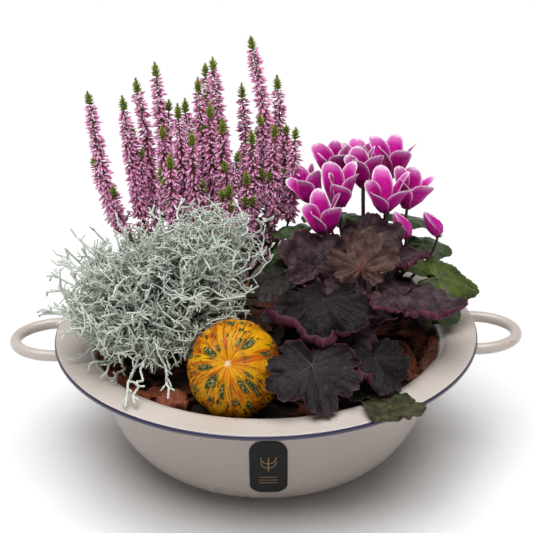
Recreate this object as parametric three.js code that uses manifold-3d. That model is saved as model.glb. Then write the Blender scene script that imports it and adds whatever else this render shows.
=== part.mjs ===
// A mixed autumn planter: an enamelled steel basin with two tube handles, filled with soil and bark
// mulch and planted with bud heather, a silver cushion bush, a purple heuchera and a cyclamen, with an
// ornamental gourd laid at the front.
//
// Units are millimetres. +Z is up, -Y is the front and +X the right. The origin is the middle of the
// basin's flat underside.

import * as THREE from 'three';
import { mergeVertices } from 'three/addons/utils/BufferGeometryUtils.js';
import Module from 'manifold-3d';

const wasm = await Module();
wasm.setup();

// ---------------------------------------------------------------- driving dimensions

const CLEARANCE = 0.35; // gap between neighbouring solids
const ROUND_STEPS = 48; // facets round the basin, the soil and the mulch

const BASIN = {
  rimRadius: 200,
  height: 124,
  sheet: 2,
  beadRadius: 2.6,
  baseRadius: 86,
  wallRadius: 162.5,
  baseRun: 30, // how far the base curve runs out level
  wallRun: 105, // how far the wall curve runs down plumb
  flangeRound: 13.5, // radius of the bend from wall to flange
};

const HANDLE = {
  tubeRadius: 5.4,
  halfWidth: 34,
  start: 150, // where its legs start, before the basin is cut out of them
  straightTo: 197,
  reach: 239.5,
  drop: 11, // how far below the rim it runs
  steps: 12,
};

const LABEL = { width: 33, height: 68, corner: 13, thickness: 0.8, top: 96 };

const SOIL_TOP = 88;
const MULCH_TOP = 103;
const STALK_FOOT = SOIL_TOP + 0.9; // a leaning stalk's slanted foot just clears the soil

const GOURD = {
  centre: [-28, -118, 142],
  radii: [40.5, 41, 43], // across, through and up, before the tilt
  ribs: 10,
  ribDepth: 1.4,
  scarPitch: 36, // degrees that the pale scar looks up from level
  scarTurn: -9, // degrees that it is turned to the left
};

// ---------------------------------------------------------------- small tools

const X = new THREE.Vector3(1, 0, 0);
const UP = new THREE.Vector3(0, 0, 1);
const vec = (p) => new THREE.Vector3(...p);
const rad = THREE.MathUtils.degToRad;
const mix = THREE.MathUtils.lerp;

// A seeded source of random numbers, so that every build is the same.
function randomFrom(seed) {
  let state = seed >>> 0;
  return () => {
    state = (state + 0x6d2b79f5) >>> 0;
    let t = state;
    t = Math.imul(t ^ (t >>> 15), t | 1);
    t ^= t + Math.imul(t ^ (t >>> 7), t | 61);
    return ((t ^ (t >>> 14)) >>> 0) / 4294967296;
  };
}

// A closed three.js geometry as a manifold-3d solid.
function solidOf(geometry) {
  const bare = geometry.clone();
  bare.deleteAttribute('normal');
  bare.deleteAttribute('uv');
  const merged = mergeVertices(bare, 1e-4);
  return new wasm.Manifold(
    new wasm.Mesh({
      numProp: 3,
      vertProperties: new Float32Array(merged.attributes.position.array),
      triVerts: new Uint32Array(merged.index.array),
    }),
  );
}

function geometryOf(solid) {
  const mesh = solid.getMesh();
  const geometry = new THREE.BufferGeometry();
  geometry.setAttribute('position', new THREE.BufferAttribute(new Float32Array(mesh.vertProperties), 3));
  geometry.setIndex(new THREE.BufferAttribute(new Uint32Array(mesh.triVerts), 1));
  geometry.computeVertexNormals();
  return geometry;
}

const union = (solids) => solids.reduce((whole, next) => whole.add(next));

// The largest body of a solid, without the loose scraps that a cut can leave.
const largest = (solid) => solid.decompose().sort((a, b) => b.volume() - a.volume())[0];

function geometryFrom(points, triangles) {
  const geometry = new THREE.BufferGeometry();
  geometry.setAttribute('position', new THREE.Float32BufferAttribute(points.flatMap((p) => p.toArray()), 3));
  geometry.setIndex(triangles);
  return geometry;
}

// A closed skin through rings of points, with a flat cap at both ends.
function loft(rings) {
  const n = rings[0].length;
  const last = (rings.length - 1) * n;
  const triangles = [];
  for (let i = 0; i + 1 < rings.length; i++)
    for (let j = 0; j < n; j++) {
      const [a, b] = [i * n + j, i * n + ((j + 1) % n)];
      triangles.push(a, b, b + n, a, b + n, a + n);
    }
  for (let j = 1; j + 1 < n; j++) triangles.push(0, j + 1, j, last, last + j, last + j + 1);
  return geometryFrom(rings.flat(), triangles);
}

// Two axes square to a direction.
function crossAxes(along) {
  const side = new THREE.Vector3().crossVectors(Math.abs(along.z) > 0.9 ? X : UP, along).normalize();
  return [side, new THREE.Vector3().crossVectors(along, side)];
}

// A stem of few sides along points, with a radius for each.
function stem(points, radii, sides = 3) {
  const rings = points.map((p, i) => {
    const [before, after] = [points[Math.max(i - 1, 0)], points[Math.min(i + 1, points.length - 1)]];
    const along = after.clone().sub(before).normalize();
    const [u, v] = crossAxes(along);
    return Array.from({ length: sides }, (_, j) => {
      const a = (2 * Math.PI * j) / sides;
      return p.clone().addScaledVector(u, radii[i] * Math.cos(a)).addScaledVector(v, radii[i] * Math.sin(a));
    });
  });
  return loft(rings);
}

// Points along a bent stem from a root that leaves it plumb to an end that arrives along a direction.
function bentLine(root, end, arrive, steps) {
  const reach = root.distanceTo(end);
  const curve = new THREE.CubicBezierCurve3(
    root,
    root.clone().addScaledVector(UP, reach * 0.45),
    end.clone().addScaledVector(arrive, -reach * 0.35),
    end,
  );
  return curve.getPoints(steps);
}

// A turned solid: profile points [radius, height], from axis to axis or closed on itself.
function turned(profile, steps = ROUND_STEPS) {
  const geometry = new THREE.LatheGeometry(profile.map(([r, z]) => new THREE.Vector2(r, z)), steps);
  return solidOf(geometry.rotateX(Math.PI / 2));
}

// ---------------------------------------------------------------- basin, handles and label

// The wall's outer curve from base to flange, as a cubic from u = 0 at the base to 1 at the rim.
function wallPoint(u) {
  const { baseRadius, baseRun, wallRadius, wallRun, height } = BASIN;
  const w = 1 - u;
  return [
    w ** 3 * baseRadius + 3 * w * w * u * (baseRadius + baseRun) + (3 * w * u * u + u ** 3) * wallRadius,
    3 * w * u * u * (height - wallRun) + u ** 3 * height,
  ];
}

const WALL_STEPS = [0.26, 0.48, 0.72]; // where the wall curve is cut into facets

// The outline from the base to the underside of the flange, moved out by a distance.
function outerOutline(out) {
  const { baseRadius, wallRadius, height, sheet, flangeRound } = BASIN;
  const top = height - sheet;
  const bendRadius = flangeRound - out;
  const bend = [0, 40, 90].map((deg) => [
    wallRadius + flangeRound - bendRadius * Math.cos(rad(deg)),
    top - flangeRound + bendRadius * Math.sin(rad(deg)),
  ]);
  const wall = WALL_STEPS.map(wallPoint).map(([r, z]) => [r + out, z - out * (1 - z / height)]);
  return [[baseRadius, -out], ...wall, ...bend];
}

function makeBasin() {
  const { rimRadius, height, sheet, beadRadius } = BASIN;
  const bead = [170, 235, 300, 0, 90].map((deg) => [
    rimRadius - beadRadius + beadRadius * Math.cos(rad(deg)),
    height - beadRadius + beadRadius * Math.sin(rad(deg)),
  ]);
  const inside = outerOutline(-sheet)
    .slice(1)
    .map(([r, z]) => [r, Math.min(Math.max(z, sheet), height)]);
  return turned([[0, 0], ...outerOutline(0), ...bead, ...inside.reverse(), [BASIN.baseRadius, sheet], [0, sheet]]);
}

// Everything inside the basin's outer skin, so that what is welded to it can be cut to fit.
const basinBulk = (out) => turned([[0, -out], ...outerOutline(out), [0, BASIN.height - BASIN.sheet]]);

// The space taken by the wall and the flange, with the clearance, for trimming the plants.
function rimRoom() {
  const surface = outerOutline(-BASIN.sheet - 2 * CLEARANCE).slice(-3).reverse();
  const [top, , bottom] = surface;
  const [foot, beyond] = [60, 240]; // below and outside whatever is trimmed
  return turned([[bottom[0], foot], [beyond, foot], [beyond, top[1]], ...surface, [bottom[0], foot]]);
}

function makeHandle(side) {
  const { tubeRadius, halfWidth, start, straightTo, reach, drop, steps } = HANDLE;
  const loop = [new THREE.Vector3(start, -halfWidth, 0)];
  for (let i = 0; i <= steps; i++) {
    const a = mix(-Math.PI / 2, Math.PI / 2, i / steps);
    loop.push(new THREE.Vector3(straightTo + (reach - straightTo) * Math.cos(a), halfWidth * Math.sin(a), 0));
  }
  loop.push(new THREE.Vector3(start, halfWidth, 0));
  const tube = solidOf(stem(loop, loop.map(() => tubeRadius), 8));
  return tube
    .translate([0, 0, BASIN.height - drop])
    .rotate([0, 0, side < 0 ? 180 : 0])
    .subtract(basinBulk(CLEARANCE));
}

// A stadium-like plate laid on the front wall, following its curve.
function makeLabel() {
  const { width, height, corner, thickness, top } = LABEL;
  const arc = []; // the wall's outline down from the label's top, with the length run so far
  for (let u = 0.9, run = 0, last = null; u > 0.2 && run <= height + 6; u -= 0.02) {
    const [r, z] = wallPoint(u);
    if (last) run += Math.hypot(r - last[0], z - last[1]);
    if (z > top) run = 0;
    last = [r, z];
    arc.push({ r, z, run });
  }
  const at = (s) => {
    const i = Math.max(1, arc.findIndex((p) => p.run >= s));
    const [a, b] = [arc[i - 1], arc[i]];
    const t = (s - a.run) / Math.max(b.run - a.run, 1e-6);
    const slope = Math.atan2(a.r - b.r, a.z - b.z);
    return { r: mix(a.r, b.r, t), z: mix(a.z, b.z, t), slope };
  };
  const rows = 10;
  const rings = [];
  for (let i = 0; i <= rows; i++) {
    const s = 0.2 + ((height - 0.4) * i) / rows;
    const inCorner = Math.max(0, corner - Math.min(s, height - s));
    const half = width / 2 - corner + Math.sqrt(Math.max(0, corner ** 2 - inCorner ** 2));
    const { r, z, slope } = at(s);
    const ring = [];
    for (const [share, out] of [[-1, 1], [0, 1], [1, 1], [1, 0], [0, 0], [-1, 0]]) {
      const reach = CLEARANCE + out * thickness;
      const a = (share * half) / r;
      const radius = r + reach * Math.cos(slope);
      ring.push(new THREE.Vector3(radius * Math.sin(a), -radius * Math.cos(a), z - reach * Math.sin(slope)));
    }
    rings.push(ring);
  }
  return solidOf(loft(rings.reverse()));
}

// ---------------------------------------------------------------- gourd

// Turns the gourd's own frame, whose scar looks along +Z, to how the gourd lies.
function layGourd(solid) {
  const { centre, scarPitch, scarTurn } = GOURD;
  return solid.rotate([90 - scarPitch, 0, 0]).rotate([0, 0, scarTurn]).translate(centre);
}

function gourdSkin(around, down, grow, ribDepth) {
  const [across, along, tall] = GOURD.radii;
  const rings = [];
  for (let i = 1; i < down; i++) {
    const polar = (Math.PI * i) / down;
    const scar = 0.1 * Math.exp(-((polar / 0.3) ** 2));
    const stalk = 0.16 * Math.exp(-(((Math.PI - polar) / 0.35) ** 2));
    const ring = [];
    for (let j = 0; j < around; j++) {
      const a = (2 * Math.PI * j) / around;
      const rib = ribDepth * Math.sin(polar) * (Math.abs(Math.cos((GOURD.ribs / 2) * a)) - 0.6);
      const size = 1 - scar - stalk + rib / across;
      ring.push(new THREE.Vector3(
        (across + grow) * size * Math.sin(polar) * Math.cos(a),
        (tall + grow) * size * Math.sin(polar) * Math.sin(a),
        (along + grow) * size * Math.cos(polar),
      ));
    }
    rings.push(ring);
  }
  return layGourd(solidOf(loft(rings.reverse())));
}

const makeGourd = () => gourdSkin(3 * GOURD.ribs, 11, 0, GOURD.ribDepth);
const gourdSeat = () => gourdSkin(3 * GOURD.ribs, 11, CLEARANCE + 0.1, GOURD.ribDepth); // its bed in the mulch
const gourdRoom = () => gourdSkin(20, 9, 2.6, 0); // what the bush keeps clear of

// ---------------------------------------------------------------- leaves

// A leaf's own frame has its stalk's end at the origin, its main lobe along +X and its face up +Z.
// outline(a) is the blade's reach at angle a, and lift(share, a, reach) its height over the plane.
// The blade is a fan round the stalk, then an edge with four times as many points.
function blade({ outline, lift, fan, thickness = 0.8 }) {
  const rings = [[fan, 0.42], [4 * fan, 1]];
  const top = [new THREE.Vector3(0, 0, lift(0, 0, 0))];
  for (const [count, share] of rings)
    for (let j = 0; j < count; j++) {
      const a = (2 * Math.PI * j) / count;
      const reach = outline(a) * share;
      top.push(new THREE.Vector3(reach * Math.cos(a), reach * Math.sin(a), lift(share, a, reach)));
    }
  const face = [];
  const edge = 1 + fan;
  for (let j = 0; j < fan; j++) {
    const [a, b, p] = [1 + j, 1 + ((j + 1) % fan), edge + 4 * j];
    face.push(0, a, b, a, p, p + 1, a, p + 1, p + 2, a, p + 2, b, b, p + 2, p + 3);
    face.push(b, p + 3, edge + ((4 * j + 4) % (4 * fan)));
  }
  const size = top.length;
  const under = top.map((p) => p.clone().setZ(p.z - thickness));
  const rim = [];
  for (let j = 0; j < 4 * fan; j++) {
    const [a, b] = [edge + j, edge + ((j + 1) % (4 * fan))];
    rim.push(a, a + size, b + size, a, b + size, b);
  }
  const back = [];
  for (let i = 0; i < face.length; i += 3) back.push(face[i] + size, face[i + 2] + size, face[i + 1] + size);
  return geometryFrom([...top, ...under], [...face, ...back, ...rim]);
}

// The frame of a leaf: at a place, with its main lobe along an azimuth and a pitch, rolled about it.
function leafFrame({ at, azimuth, pitch, roll = 0 }) {
  const ahead = new THREE.Vector3(
    Math.cos(rad(pitch)) * Math.cos(rad(azimuth)),
    Math.cos(rad(pitch)) * Math.sin(rad(azimuth)),
    Math.sin(rad(pitch)),
  );
  const face = UP.clone().addScaledVector(ahead, -ahead.z).normalize().applyAxisAngle(ahead, rad(roll));
  const left = new THREE.Vector3().crossVectors(face, ahead);
  return new THREE.Matrix4().makeBasis(ahead, left, face).setPosition(vec(at));
}

// A blade in its place, with the stalk that carries it down to its root in the mulch.
function leafOnStalk(leaf, geometry, radius) {
  const frame = leafFrame(leaf);
  const ahead = new THREE.Vector3().setFromMatrixColumn(frame, 0);
  const face = new THREE.Vector3().setFromMatrixColumn(frame, 2);
  const [forward, upward] = leaf.level ? [1, 0.1] : [0.6, 0.8];
  const arrive = ahead.clone().multiplyScalar(forward).addScaledVector(face, upward).normalize();
  const end = vec(leaf.at).addScaledVector(face, -0.5);
  const line = bentLine(new THREE.Vector3(...leaf.root, STALK_FOOT), end, arrive, 4);
  const radii = [1.25, 1.15, 1.05, 1, 0.3].map((share) => share * radius);
  return solidOf(geometry.applyMatrix4(frame)).add(solidOf(stem(line, radii, 4)));
}

// Heuchera: rounded, lobed and ruffled, with a notch where the stalk comes in.
// back is the blade's reach beside the notch, as a share of its reach ahead.
function heucheraBlade({ size, wave = 0.06, droop = 0.1, back = 0.6 }) {
  const lobes = size > 44 ? 7 : 6;
  const outline = (a) => {
    const fromNotch = Math.PI - Math.abs(a > Math.PI ? a - 2 * Math.PI : a);
    const notch = 1 - 0.6 * Math.exp(-((fromNotch / 0.3) ** 2));
    const body = ((1 + back) / 2 + ((1 - back) / 2) * Math.cos(a)) * (1 + 0.14 * Math.abs(Math.sin(a)));
    return size * notch * body * (0.84 + 0.16 * Math.abs(Math.cos((lobes / 2) * a)));
  };
  const lift = (share, a, reach) =>
    -droop * size * share ** 2 + wave * size * share ** 2 * Math.sin(6 * a + 0.6) + 0.05 * reach * Math.cos(a);
  return blade({ outline, lift, fan: lobes });
}

const HEUCHERA = [
  { name: 'front', at: [38, -142, 158], azimuth: -80, pitch: -37, size: 46, wave: 0.05, droop: 0.02,
    root: [56, -76] },
  { name: 'middle', at: [50, -88, 193], azimuth: -105, pitch: -22, size: 52, wave: 0.07, droop: 0.2,
    root: [60, -64] },
  { name: 'upper_left', at: [46, -38, 201], azimuth: 112, pitch: 50, size: 38, droop: -0.05, back: 0.45,
    root: [56, -50] },
  { name: 'bronze', at: [86, -48, 204], azimuth: 78, pitch: 38, size: 38, droop: -0.05, back: 0.5,
    root: [72, -54] },
  { name: 'back', at: [94, -14, 213], azimuth: 70, pitch: 28, size: 34, droop: 0, back: 0.5, root: [76, -42] },
  { name: 'right', at: [129, -60, 181], azimuth: -10, pitch: -10, size: 49, droop: 0.12, back: 0.5,
    root: [82, -56] },
  { name: 'low_right', at: [104, -127, 154], azimuth: -62, pitch: -30, size: 34, droop: 0.08, root: [76, -72] },
  { name: 'over_rim', at: [101, -158, 128.6], azimuth: -82, pitch: -2, size: 32, wave: 0.02, droop: 0, level: true,
    root: [80, -70] },
  { name: 'left', at: [8, -34, 188], azimuth: 205, pitch: -24, size: 28, wave: 0.05, root: [50, -54] },
  { name: 'purple', at: [124, -20, 201], azimuth: -6, pitch: 12, size: 28, root: [84, -50] },
  { name: 'centre', at: [104, -90, 194], azimuth: -62, pitch: -20, size: 22, wave: 0.07, root: [65, -67] },
  { name: 'low_left', at: [14, -76, 170], azimuth: 180, pitch: 10, size: 18, root: [50, -66] },
  { name: 'low_front', at: [76, -130, 126], azimuth: -95, pitch: -2, size: 20, wave: 0.02, droop: 0, level: true,
    root: [67, -78] },
];

function makeHeucheraLeaf(leaf) {
  return leafOnStalk(leaf, heucheraBlade(leaf), 1.7);
}

// Cyclamen: heart-shaped, with a toothed edge that turns down a little.
function cyclamenBlade(size, droop) {
  const outline = (a) => {
    const half = Math.abs(a > Math.PI ? a - 2 * Math.PI : a);
    const notch = 1 - 0.66 * Math.exp(-(((Math.PI - half) / 0.28) ** 2));
    return size * notch * (0.74 + 0.2 * Math.cos(half) + 0.06 * Math.cos(3 * half));
  };
  const lift = (share, a, reach) => {
    const wave = 0.035 * size * share ** 2 * Math.sin(7 * a + 1);
    return -droop * size * share ** 2 + 0.1 * reach * Math.abs(Math.sin(a)) + wave;
  };
  return blade({ outline, lift, fan: 5 });
}

const CYCLAMEN_LEAVES = [
  { name: 'far_right', at: [163, 4, 170], azimuth: -8, pitch: -14, roll: 22, size: 36, root: [125, 45] },
  { name: 'low_right', at: [158, -12, 150], azimuth: -25, pitch: -20, roll: 28, size: 27, root: [119, 34] },
  { name: 'right', at: [156, 61, 178], azimuth: 14, pitch: -8, roll: 10, size: 30, root: [125, 55] },
  { name: 'back_right', at: [142, 88, 196], azimuth: 40, pitch: -12, size: 34, root: [118, 67] },
  { name: 'back', at: [94, 116, 184], azimuth: 88, pitch: -12, size: 36, root: [100, 75] },
  { name: 'behind', at: [62, 106, 194], azimuth: 118, pitch: -8, size: 32, root: [85, 71] },
  { name: 'left', at: [24, 22, 188], azimuth: 185, pitch: -22, size: 30, root: [76, 40] },
  { name: 'back_left', at: [46, 70, 178], azimuth: 168, pitch: -14, size: 32, root: [76, 60] },
];

function makeCyclamenLeaf(leaf) {
  return leafOnStalk(leaf, cyclamenBlade(leaf.size, 0.18), 1.5);
}

// ---------------------------------------------------------------- cyclamen blooms

// One swept-back petal: a blade that rises from the mouth, leans out and lies a little over its
// neighbour, as the vanes of a pinwheel do.
function petal(turn, length, width, lean) {
  const vane = rad(32);
  const rings = [[0, 0.42], [0.36, 1], [0.76, 1.2], [1, 0.3]].map(([t, share]) => {
    const half = width * share;
    const out = 5 + lean * length * t ** 1.2;
    return [[-half, 0], [0, 0.7], [half, 0], [0, -0.7]].map(([across, thick]) =>
      new THREE.Vector3(
        across * Math.cos(vane) + thick * Math.sin(vane),
        out + thick * Math.cos(vane) - across * Math.sin(vane),
        length * (t - 0.1 * t * t),
      ).applyAxisAngle(UP, turn),
    );
  });
  return solidOf(loft(rings.reverse()));
}

// A nodding bloom: five petals swept up from a mouth that looks down.
function bloomHead({ size, lean, turn }) {
  const mouth = solidOf(loft([[6, 0.44], [4.5, 1], [-1, 1.02], [-4.5, 0.5]].map(([z, share]) =>
    Array.from({ length: 6 }, (_, j) => {
      const [r, a] = [size * 0.17 * share, (Math.PI * j) / 3];
      return new THREE.Vector3(r * Math.cos(a), r * Math.sin(a), z);
    }),
  ).reverse()));
  const petals = [0, 1, 2, 3, 4].map((i) =>
    petal(rad(turn) + (2 * Math.PI * i) / 5, size * (1 + 0.06 * Math.sin(5 * i + turn)), size * 0.26, lean),
  );
  return union([mouth, ...petals]);
}

// A closed bud: petals furled into a pointed spindle.
function budHead({ size }) {
  const rings = [[-2, 0.3], [4, 0.8], [size * 0.45, 1], [size * 0.8, 0.6], [size, 0.1]].map(([z, share], i) =>
    Array.from({ length: 5 }, (_, j) => {
      const a = (2 * Math.PI * j) / 5 + 0.4 * i;
      return new THREE.Vector3(size * 0.27 * share * Math.cos(a), size * 0.27 * share * Math.sin(a), z);
    }),
  );
  return solidOf(loft(rings));
}

const CORM = [100, 50]; // where the cyclamen grows from

const BLOOMS = [
  { name: 'bloom_1', at: [45, 40, 238], size: 31, lean: 0.3, turn: 20, tilt: [-16, 4] },
  { name: 'bloom_2', at: [71, 76, 246], size: 34, lean: 0.22, turn: 50, tilt: [-8, 0] },
  { name: 'bloom_3', at: [96, 58, 246], size: 34, lean: 0.34, turn: 10, tilt: [-4, 2] },
  { name: 'bloom_4', at: [113, 18, 236], size: 32, lean: 0.62, turn: 36, tilt: [0, 8] },
  { name: 'bloom_5', at: [70, 24, 240], size: 35, lean: 0.36, turn: 30, tilt: [4, 6] },
  { name: 'bloom_6', at: [56, 0, 222], size: 33, lean: 0.36, turn: 0, tilt: [-8, 10] },
  { name: 'bloom_7', at: [124, 74, 250], size: 34, lean: 0.3, turn: 60, tilt: [4, -2] },
  { name: 'bloom_8', at: [136, 40, 231], size: 34, lean: 0.4, turn: 70, tilt: [12, 2] },
  { name: 'bloom_9', at: [98, 98, 244], size: 32, lean: 0.3, turn: 15, tilt: [2, -10] },
];

const BUDS = [
  { name: 'bud_1', at: [132, 4, 215], size: 28, tilt: [-28, 10] },
  { name: 'bud_2', at: [166, 36, 203], size: 26, tilt: [-34, 8] },
];

// A head in its place, tilted to the right by tilt[0] and to the front by tilt[1], on its stalk, which
// spreads from the corm.
function onStalk(head, { at, tilt }) {
  const foot = new THREE.Vector3(mix(CORM[0], at[0], 0.24), mix(CORM[1], at[1], 0.24), STALK_FOOT);
  const line = bentLine(foot, vec(at), UP, 3);
  return head.rotate([tilt[1], tilt[0], 0]).translate(at).add(solidOf(stem(line, [1.9, 1.6, 1.5, 1.4], 4)));
}

// ---------------------------------------------------------------- heather

const HEATHER = {
  crown: [-58, 64],
  spread: 0.36, // how far out a spike's foot stands from the crown, as a share of its lowest florets
  coreRadius: 2,
  floretReach: 6.8,
  tipLength: 15,
  flowerRings: 6,
};

// Each sprig is two or three spikes from one woody root. Each spike is where its florets begin, and its
// green tip.
const SPRIGS = [
  [[[-140, 37, 222], [-158, 32, 351]], [[-119, 61, 217], [-130, 60, 336]]],
  [[[-110, 85, 219], [-121, 88, 345]], [[-92, 76, 240], [-100, 78, 363]]],
  [[[-84, 30, 222], [-86, 28, 290]], [[-92, 52, 230], [-94, 50, 311]]],
  [[[-76, 54, 226], [-79, 52, 330]], [[-65, 38, 222], [-65, 35, 309]]],
  [[[-73, 92, 222], [-75, 96, 322]], [[-51, 98, 222], [-55, 104, 355]]],
  [[[-57, 66, 230], [-60, 66, 351]], [[-52, 82, 230], [-54, 84, 335]]],
  [[[-36, 44, 224], [-36, 42, 318]], [[-49, 52, 230], [-49, 51, 331]], [[-32, 28, 212], [-32, 25, 262]]],
  [[[-35, 73, 216], [-46, 74, 370]], [[-19, 93, 214], [-21, 98, 335]]],
  [[[10, 64, 236], [-11, 63, 392]], [[25, 57, 216], [31, 57, 306]]],
  [[[20, 90, 232], [14, 94, 344]], [[-2, 80, 232], [3, 82, 317]]],
  [[[8, 48, 222], [12, 44, 313]], [[-8, 46, 232], [-10, 44, 306]], [[-15, 32, 216], [-16, 28, 272]]],
];

// Where a spike leaves the mulch, and the middle of a sprig's spikes there.
const footOf = ([start]) => HEATHER.crown.map((middle, i) => mix(middle, start[i], HEATHER.spread));
const rootOf = (spikes) => [0, 1].map((i) => spikes.reduce((sum, one) => sum + footOf(one)[i] / spikes.length, 0));

// Rings of points up a spike: bare stem from the root, then florets drawn out of its surface in turn,
// then the green tip.
function spike(root, foot, start, tip) {
  const { coreRadius, floretReach, tipLength, flowerRings } = HEATHER;
  const axis = tip.clone().sub(start).normalize();
  const [u, v] = crossAxes(axis);
  const last = start.distanceTo(tip) - tipLength;
  const ring = (from, along, radii, drop = 0) =>
    Array.from({ length: 6 }, (_, j) => {
      const [r, a] = [radii[j % 2], (Math.PI * j) / 3];
      const p = from.clone().addScaledVector(axis, along - (r > coreRadius ? drop : 0));
      return p.addScaledVector(u, r * Math.cos(a)).addScaledVector(v, r * Math.sin(a));
    });
  const rings = [ring(root, 0, [1.7, 1.7]), ring(foot, 0, [1.6, 1.6]), ring(start, -4, [1.4, 1.4])];
  for (let k = 0; k < flowerRings; k++) {
    const t = k / (flowerRings - 1);
    const reach = floretReach * (1 - 0.3 * t ** 2) * (k ? 1 : 0.7);
    rings.push(ring(start, mix(0, last, t), k % 2 ? [coreRadius, reach] : [reach, coreRadius], 1.5));
  }
  rings.push(ring(start, last + 7, [3, 1.8]), ring(tip, 0, [0.5, 0.5]));
  return solidOf(loft(rings));
}

function makeSprig(spikes) {
  const root = rootOf(spikes);
  const wood = stem([[...root, SOIL_TOP + CLEARANCE], [...root, MULCH_TOP - 6]].map(vec), [3.2, 3.2], 6);
  const knot = new THREE.Vector3(...root, MULCH_TOP - 9);
  const tops = spikes.map(([start, tip]) => {
    const foot = new THREE.Vector3(...footOf([start]), MULCH_TOP + 4);
    return spike(knot, foot, vec(start), vec(tip));
  });
  return union([solidOf(wood), ...tops]);
}

// ---------------------------------------------------------------- cushion bush

const BUSH = {
  centre: [-103, -55, 168],
  core: [62, 37, 50],
  rough: 6, // how far the core's surface is drawn out and in
  around: 18,
  down: 11,
  lowest: 122, // no twig grows out below this
  root: [-103, -50],
};

// Long sprigs that break the outline: where each ends.
const LONG_TWIGS = [
  [-208, -38, 156], [-200, -24, 190], [-190, -60, 138], [-158, -6, 230], [-62, -16, 256], [-28, -20, 242],
  [-8, -24, 222], [8, -16, 240], [-12, -52, 208], [-112, -154, 130], [-84, -150, 132], [-146, -122, 136],
];

// The bush's core with kinked twigs that grow out of its facets, each with a spur.
function bushBody() {
  const { centre, core, rough, around, down, lowest } = BUSH;
  const random = randomFrom(5);
  const middle = vec(centre);
  const points = [];
  for (let i = 1; i < down; i++)
    for (let j = 0; j < around; j++) {
      const [polar, a] = [(Math.PI * i) / down, (2 * Math.PI * j) / around];
      const out = rough * (2 * random() - 1);
      points.push(middle.clone().add(new THREE.Vector3(
        (core[0] + out) * Math.sin(polar) * Math.cos(a),
        (core[1] + out) * Math.sin(polar) * Math.sin(a),
        (core[2] + out) * Math.cos(polar),
      )));
    }
  const triangles = [];
  // Draws a three-sided ring out of the ring before it, and gives back the new ring.
  const draw = (ring, place, radius, spur) => {
    const hub = ring.reduce((sum, i) => sum.add(points[i]), new THREE.Vector3()).divideScalar(3);
    const next = ring.map((i) => {
      const out = points[i].clone().sub(hub).normalize();
      return points.push(place.clone().addScaledVector(out, radius)) - 1;
    });
    for (let k = 0; k < 3; k++) {
      const [a, b, c, d] = [ring[k], ring[(k + 1) % 3], next[(k + 1) % 3], next[k]];
      triangles.push(a, b, c);
      if (k === spur) {
        const side = points[a].clone().lerp(points[c], 0.6).lerp(points[d], 0.4);
        const away = side.clone().sub(hub.clone().lerp(place, 0.6)).setLength(8 + 5 * random());
        const tip = points.push(side.add(away).addScaledVector(UP, 2)) - 1;
        triangles.push(a, c, tip, c, d, tip, d, a, tip);
      } else triangles.push(a, c, d);
    }
    return next;
  };
  const facet = (a, b, c, twigs) => {
    const hub = points[a].clone().add(points[b]).add(points[c]).divideScalar(3);
    if (!twigs || hub.z < lowest) return triangles.push(a, b, c);
    const [ab, ac] = [points[b].clone().sub(points[a]), points[c].clone().sub(points[a])];
    const out = new THREE.Vector3().crossVectors(ab, ac).normalize();
    const way = out.lerp(hub.clone().sub(middle).normalize(), 0.7).addScaledVector(UP, 0.12).normalize();
    const reach = 20 + 16 * random();
    const kink = new THREE.Vector3(random() - 0.5, random() - 0.5, random() - 0.5).multiplyScalar(5);
    let ring = draw([a, b, c], hub, 1.8, -1);
    ring = draw(ring, hub.clone().addScaledVector(way, reach * 0.5).add(kink), 1.5, Math.floor(3 * random()));
    ring = draw(ring, hub.clone().addScaledVector(way, reach).sub(kink), 0.9, Math.floor(3 * random()));
    return triangles.push(...ring);
  };
  for (let i = 0; i + 2 < down; i++)
    for (let j = 0; j < around; j++) {
      const [a, b] = [i * around + j, i * around + ((j + 1) % around)];
      const share = 0.42 * Math.sin((Math.PI * (i + 1)) / down); // fewer twigs where the facets crowd
      facet(a, a + around, b + around, random() < share);
      facet(a, b + around, b, random() < share * 0.35);
    }
  const bottom = (down - 2) * around;
  for (let j = 1; j + 1 < around; j++) triangles.push(0, j, j + 1, bottom, bottom + j + 1, bottom + j);
  return solidOf(geometryFrom(points, triangles));
}

// A long kinked sprig from inside the core out to its end, with one side twig.
function sprig(from, to, random) {
  const kink = () => (random() - 0.5) * 0.16 * from.distanceTo(to);
  const points = [0, 0.5, 0.78, 1].map((t) => from.clone().lerp(to, t));
  for (const p of points.slice(1, 3)) p.add(new THREE.Vector3(kink(), kink(), kink()));
  const side = points[2].clone().add(new THREE.Vector3(kink(), kink(), Math.abs(kink())).multiplyScalar(1.6));
  return solidOf(stem(points, [1.7, 1.6, 1.3, 0.9], 3)).add(solidOf(stem([points[1], side], [1.3, 0.8], 3)));
}

function makeBush() {
  const random = randomFrom(11);
  const parts = [bushBody()];
  for (const end of LONG_TWIGS) parts.push(sprig(vec(BUSH.centre).lerp(vec(end), 0.42), vec(end), random));
  const [x, y] = BUSH.root;
  const trunk = [new THREE.Vector3(x, y, SOIL_TOP + CLEARANCE), new THREE.Vector3(x, y, BUSH.centre[2] - 30)];
  parts.push(solidOf(stem(trunk, [6, 8], 7)));
  return largest(union(parts).subtract(gourdRoom()).subtract(rimRoom()).subtract(underMulch(BUSH.root, 7.4)));
}

// A plumb column that reaches well above and below the mulch, for cutting with.
function column([x, y], radius, sides) {
  const geometry = new THREE.CylinderGeometry(radius, radius, 100, sides);
  return solidOf(geometry.rotateX(Math.PI / 2).translate(x, y, MULCH_TOP));
}

// What lies below the mulch's surface, except round a root, as a tool that trims a plant's underside.
function underMulch(root, radius) {
  const slab = solidOf(new THREE.BoxGeometry(420, 420, 200).translate(0, 0, MULCH_TOP + CLEARANCE - 100));
  return slab.subtract(column(root, radius, 8));
}

// ---------------------------------------------------------------- soil and mulch

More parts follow.
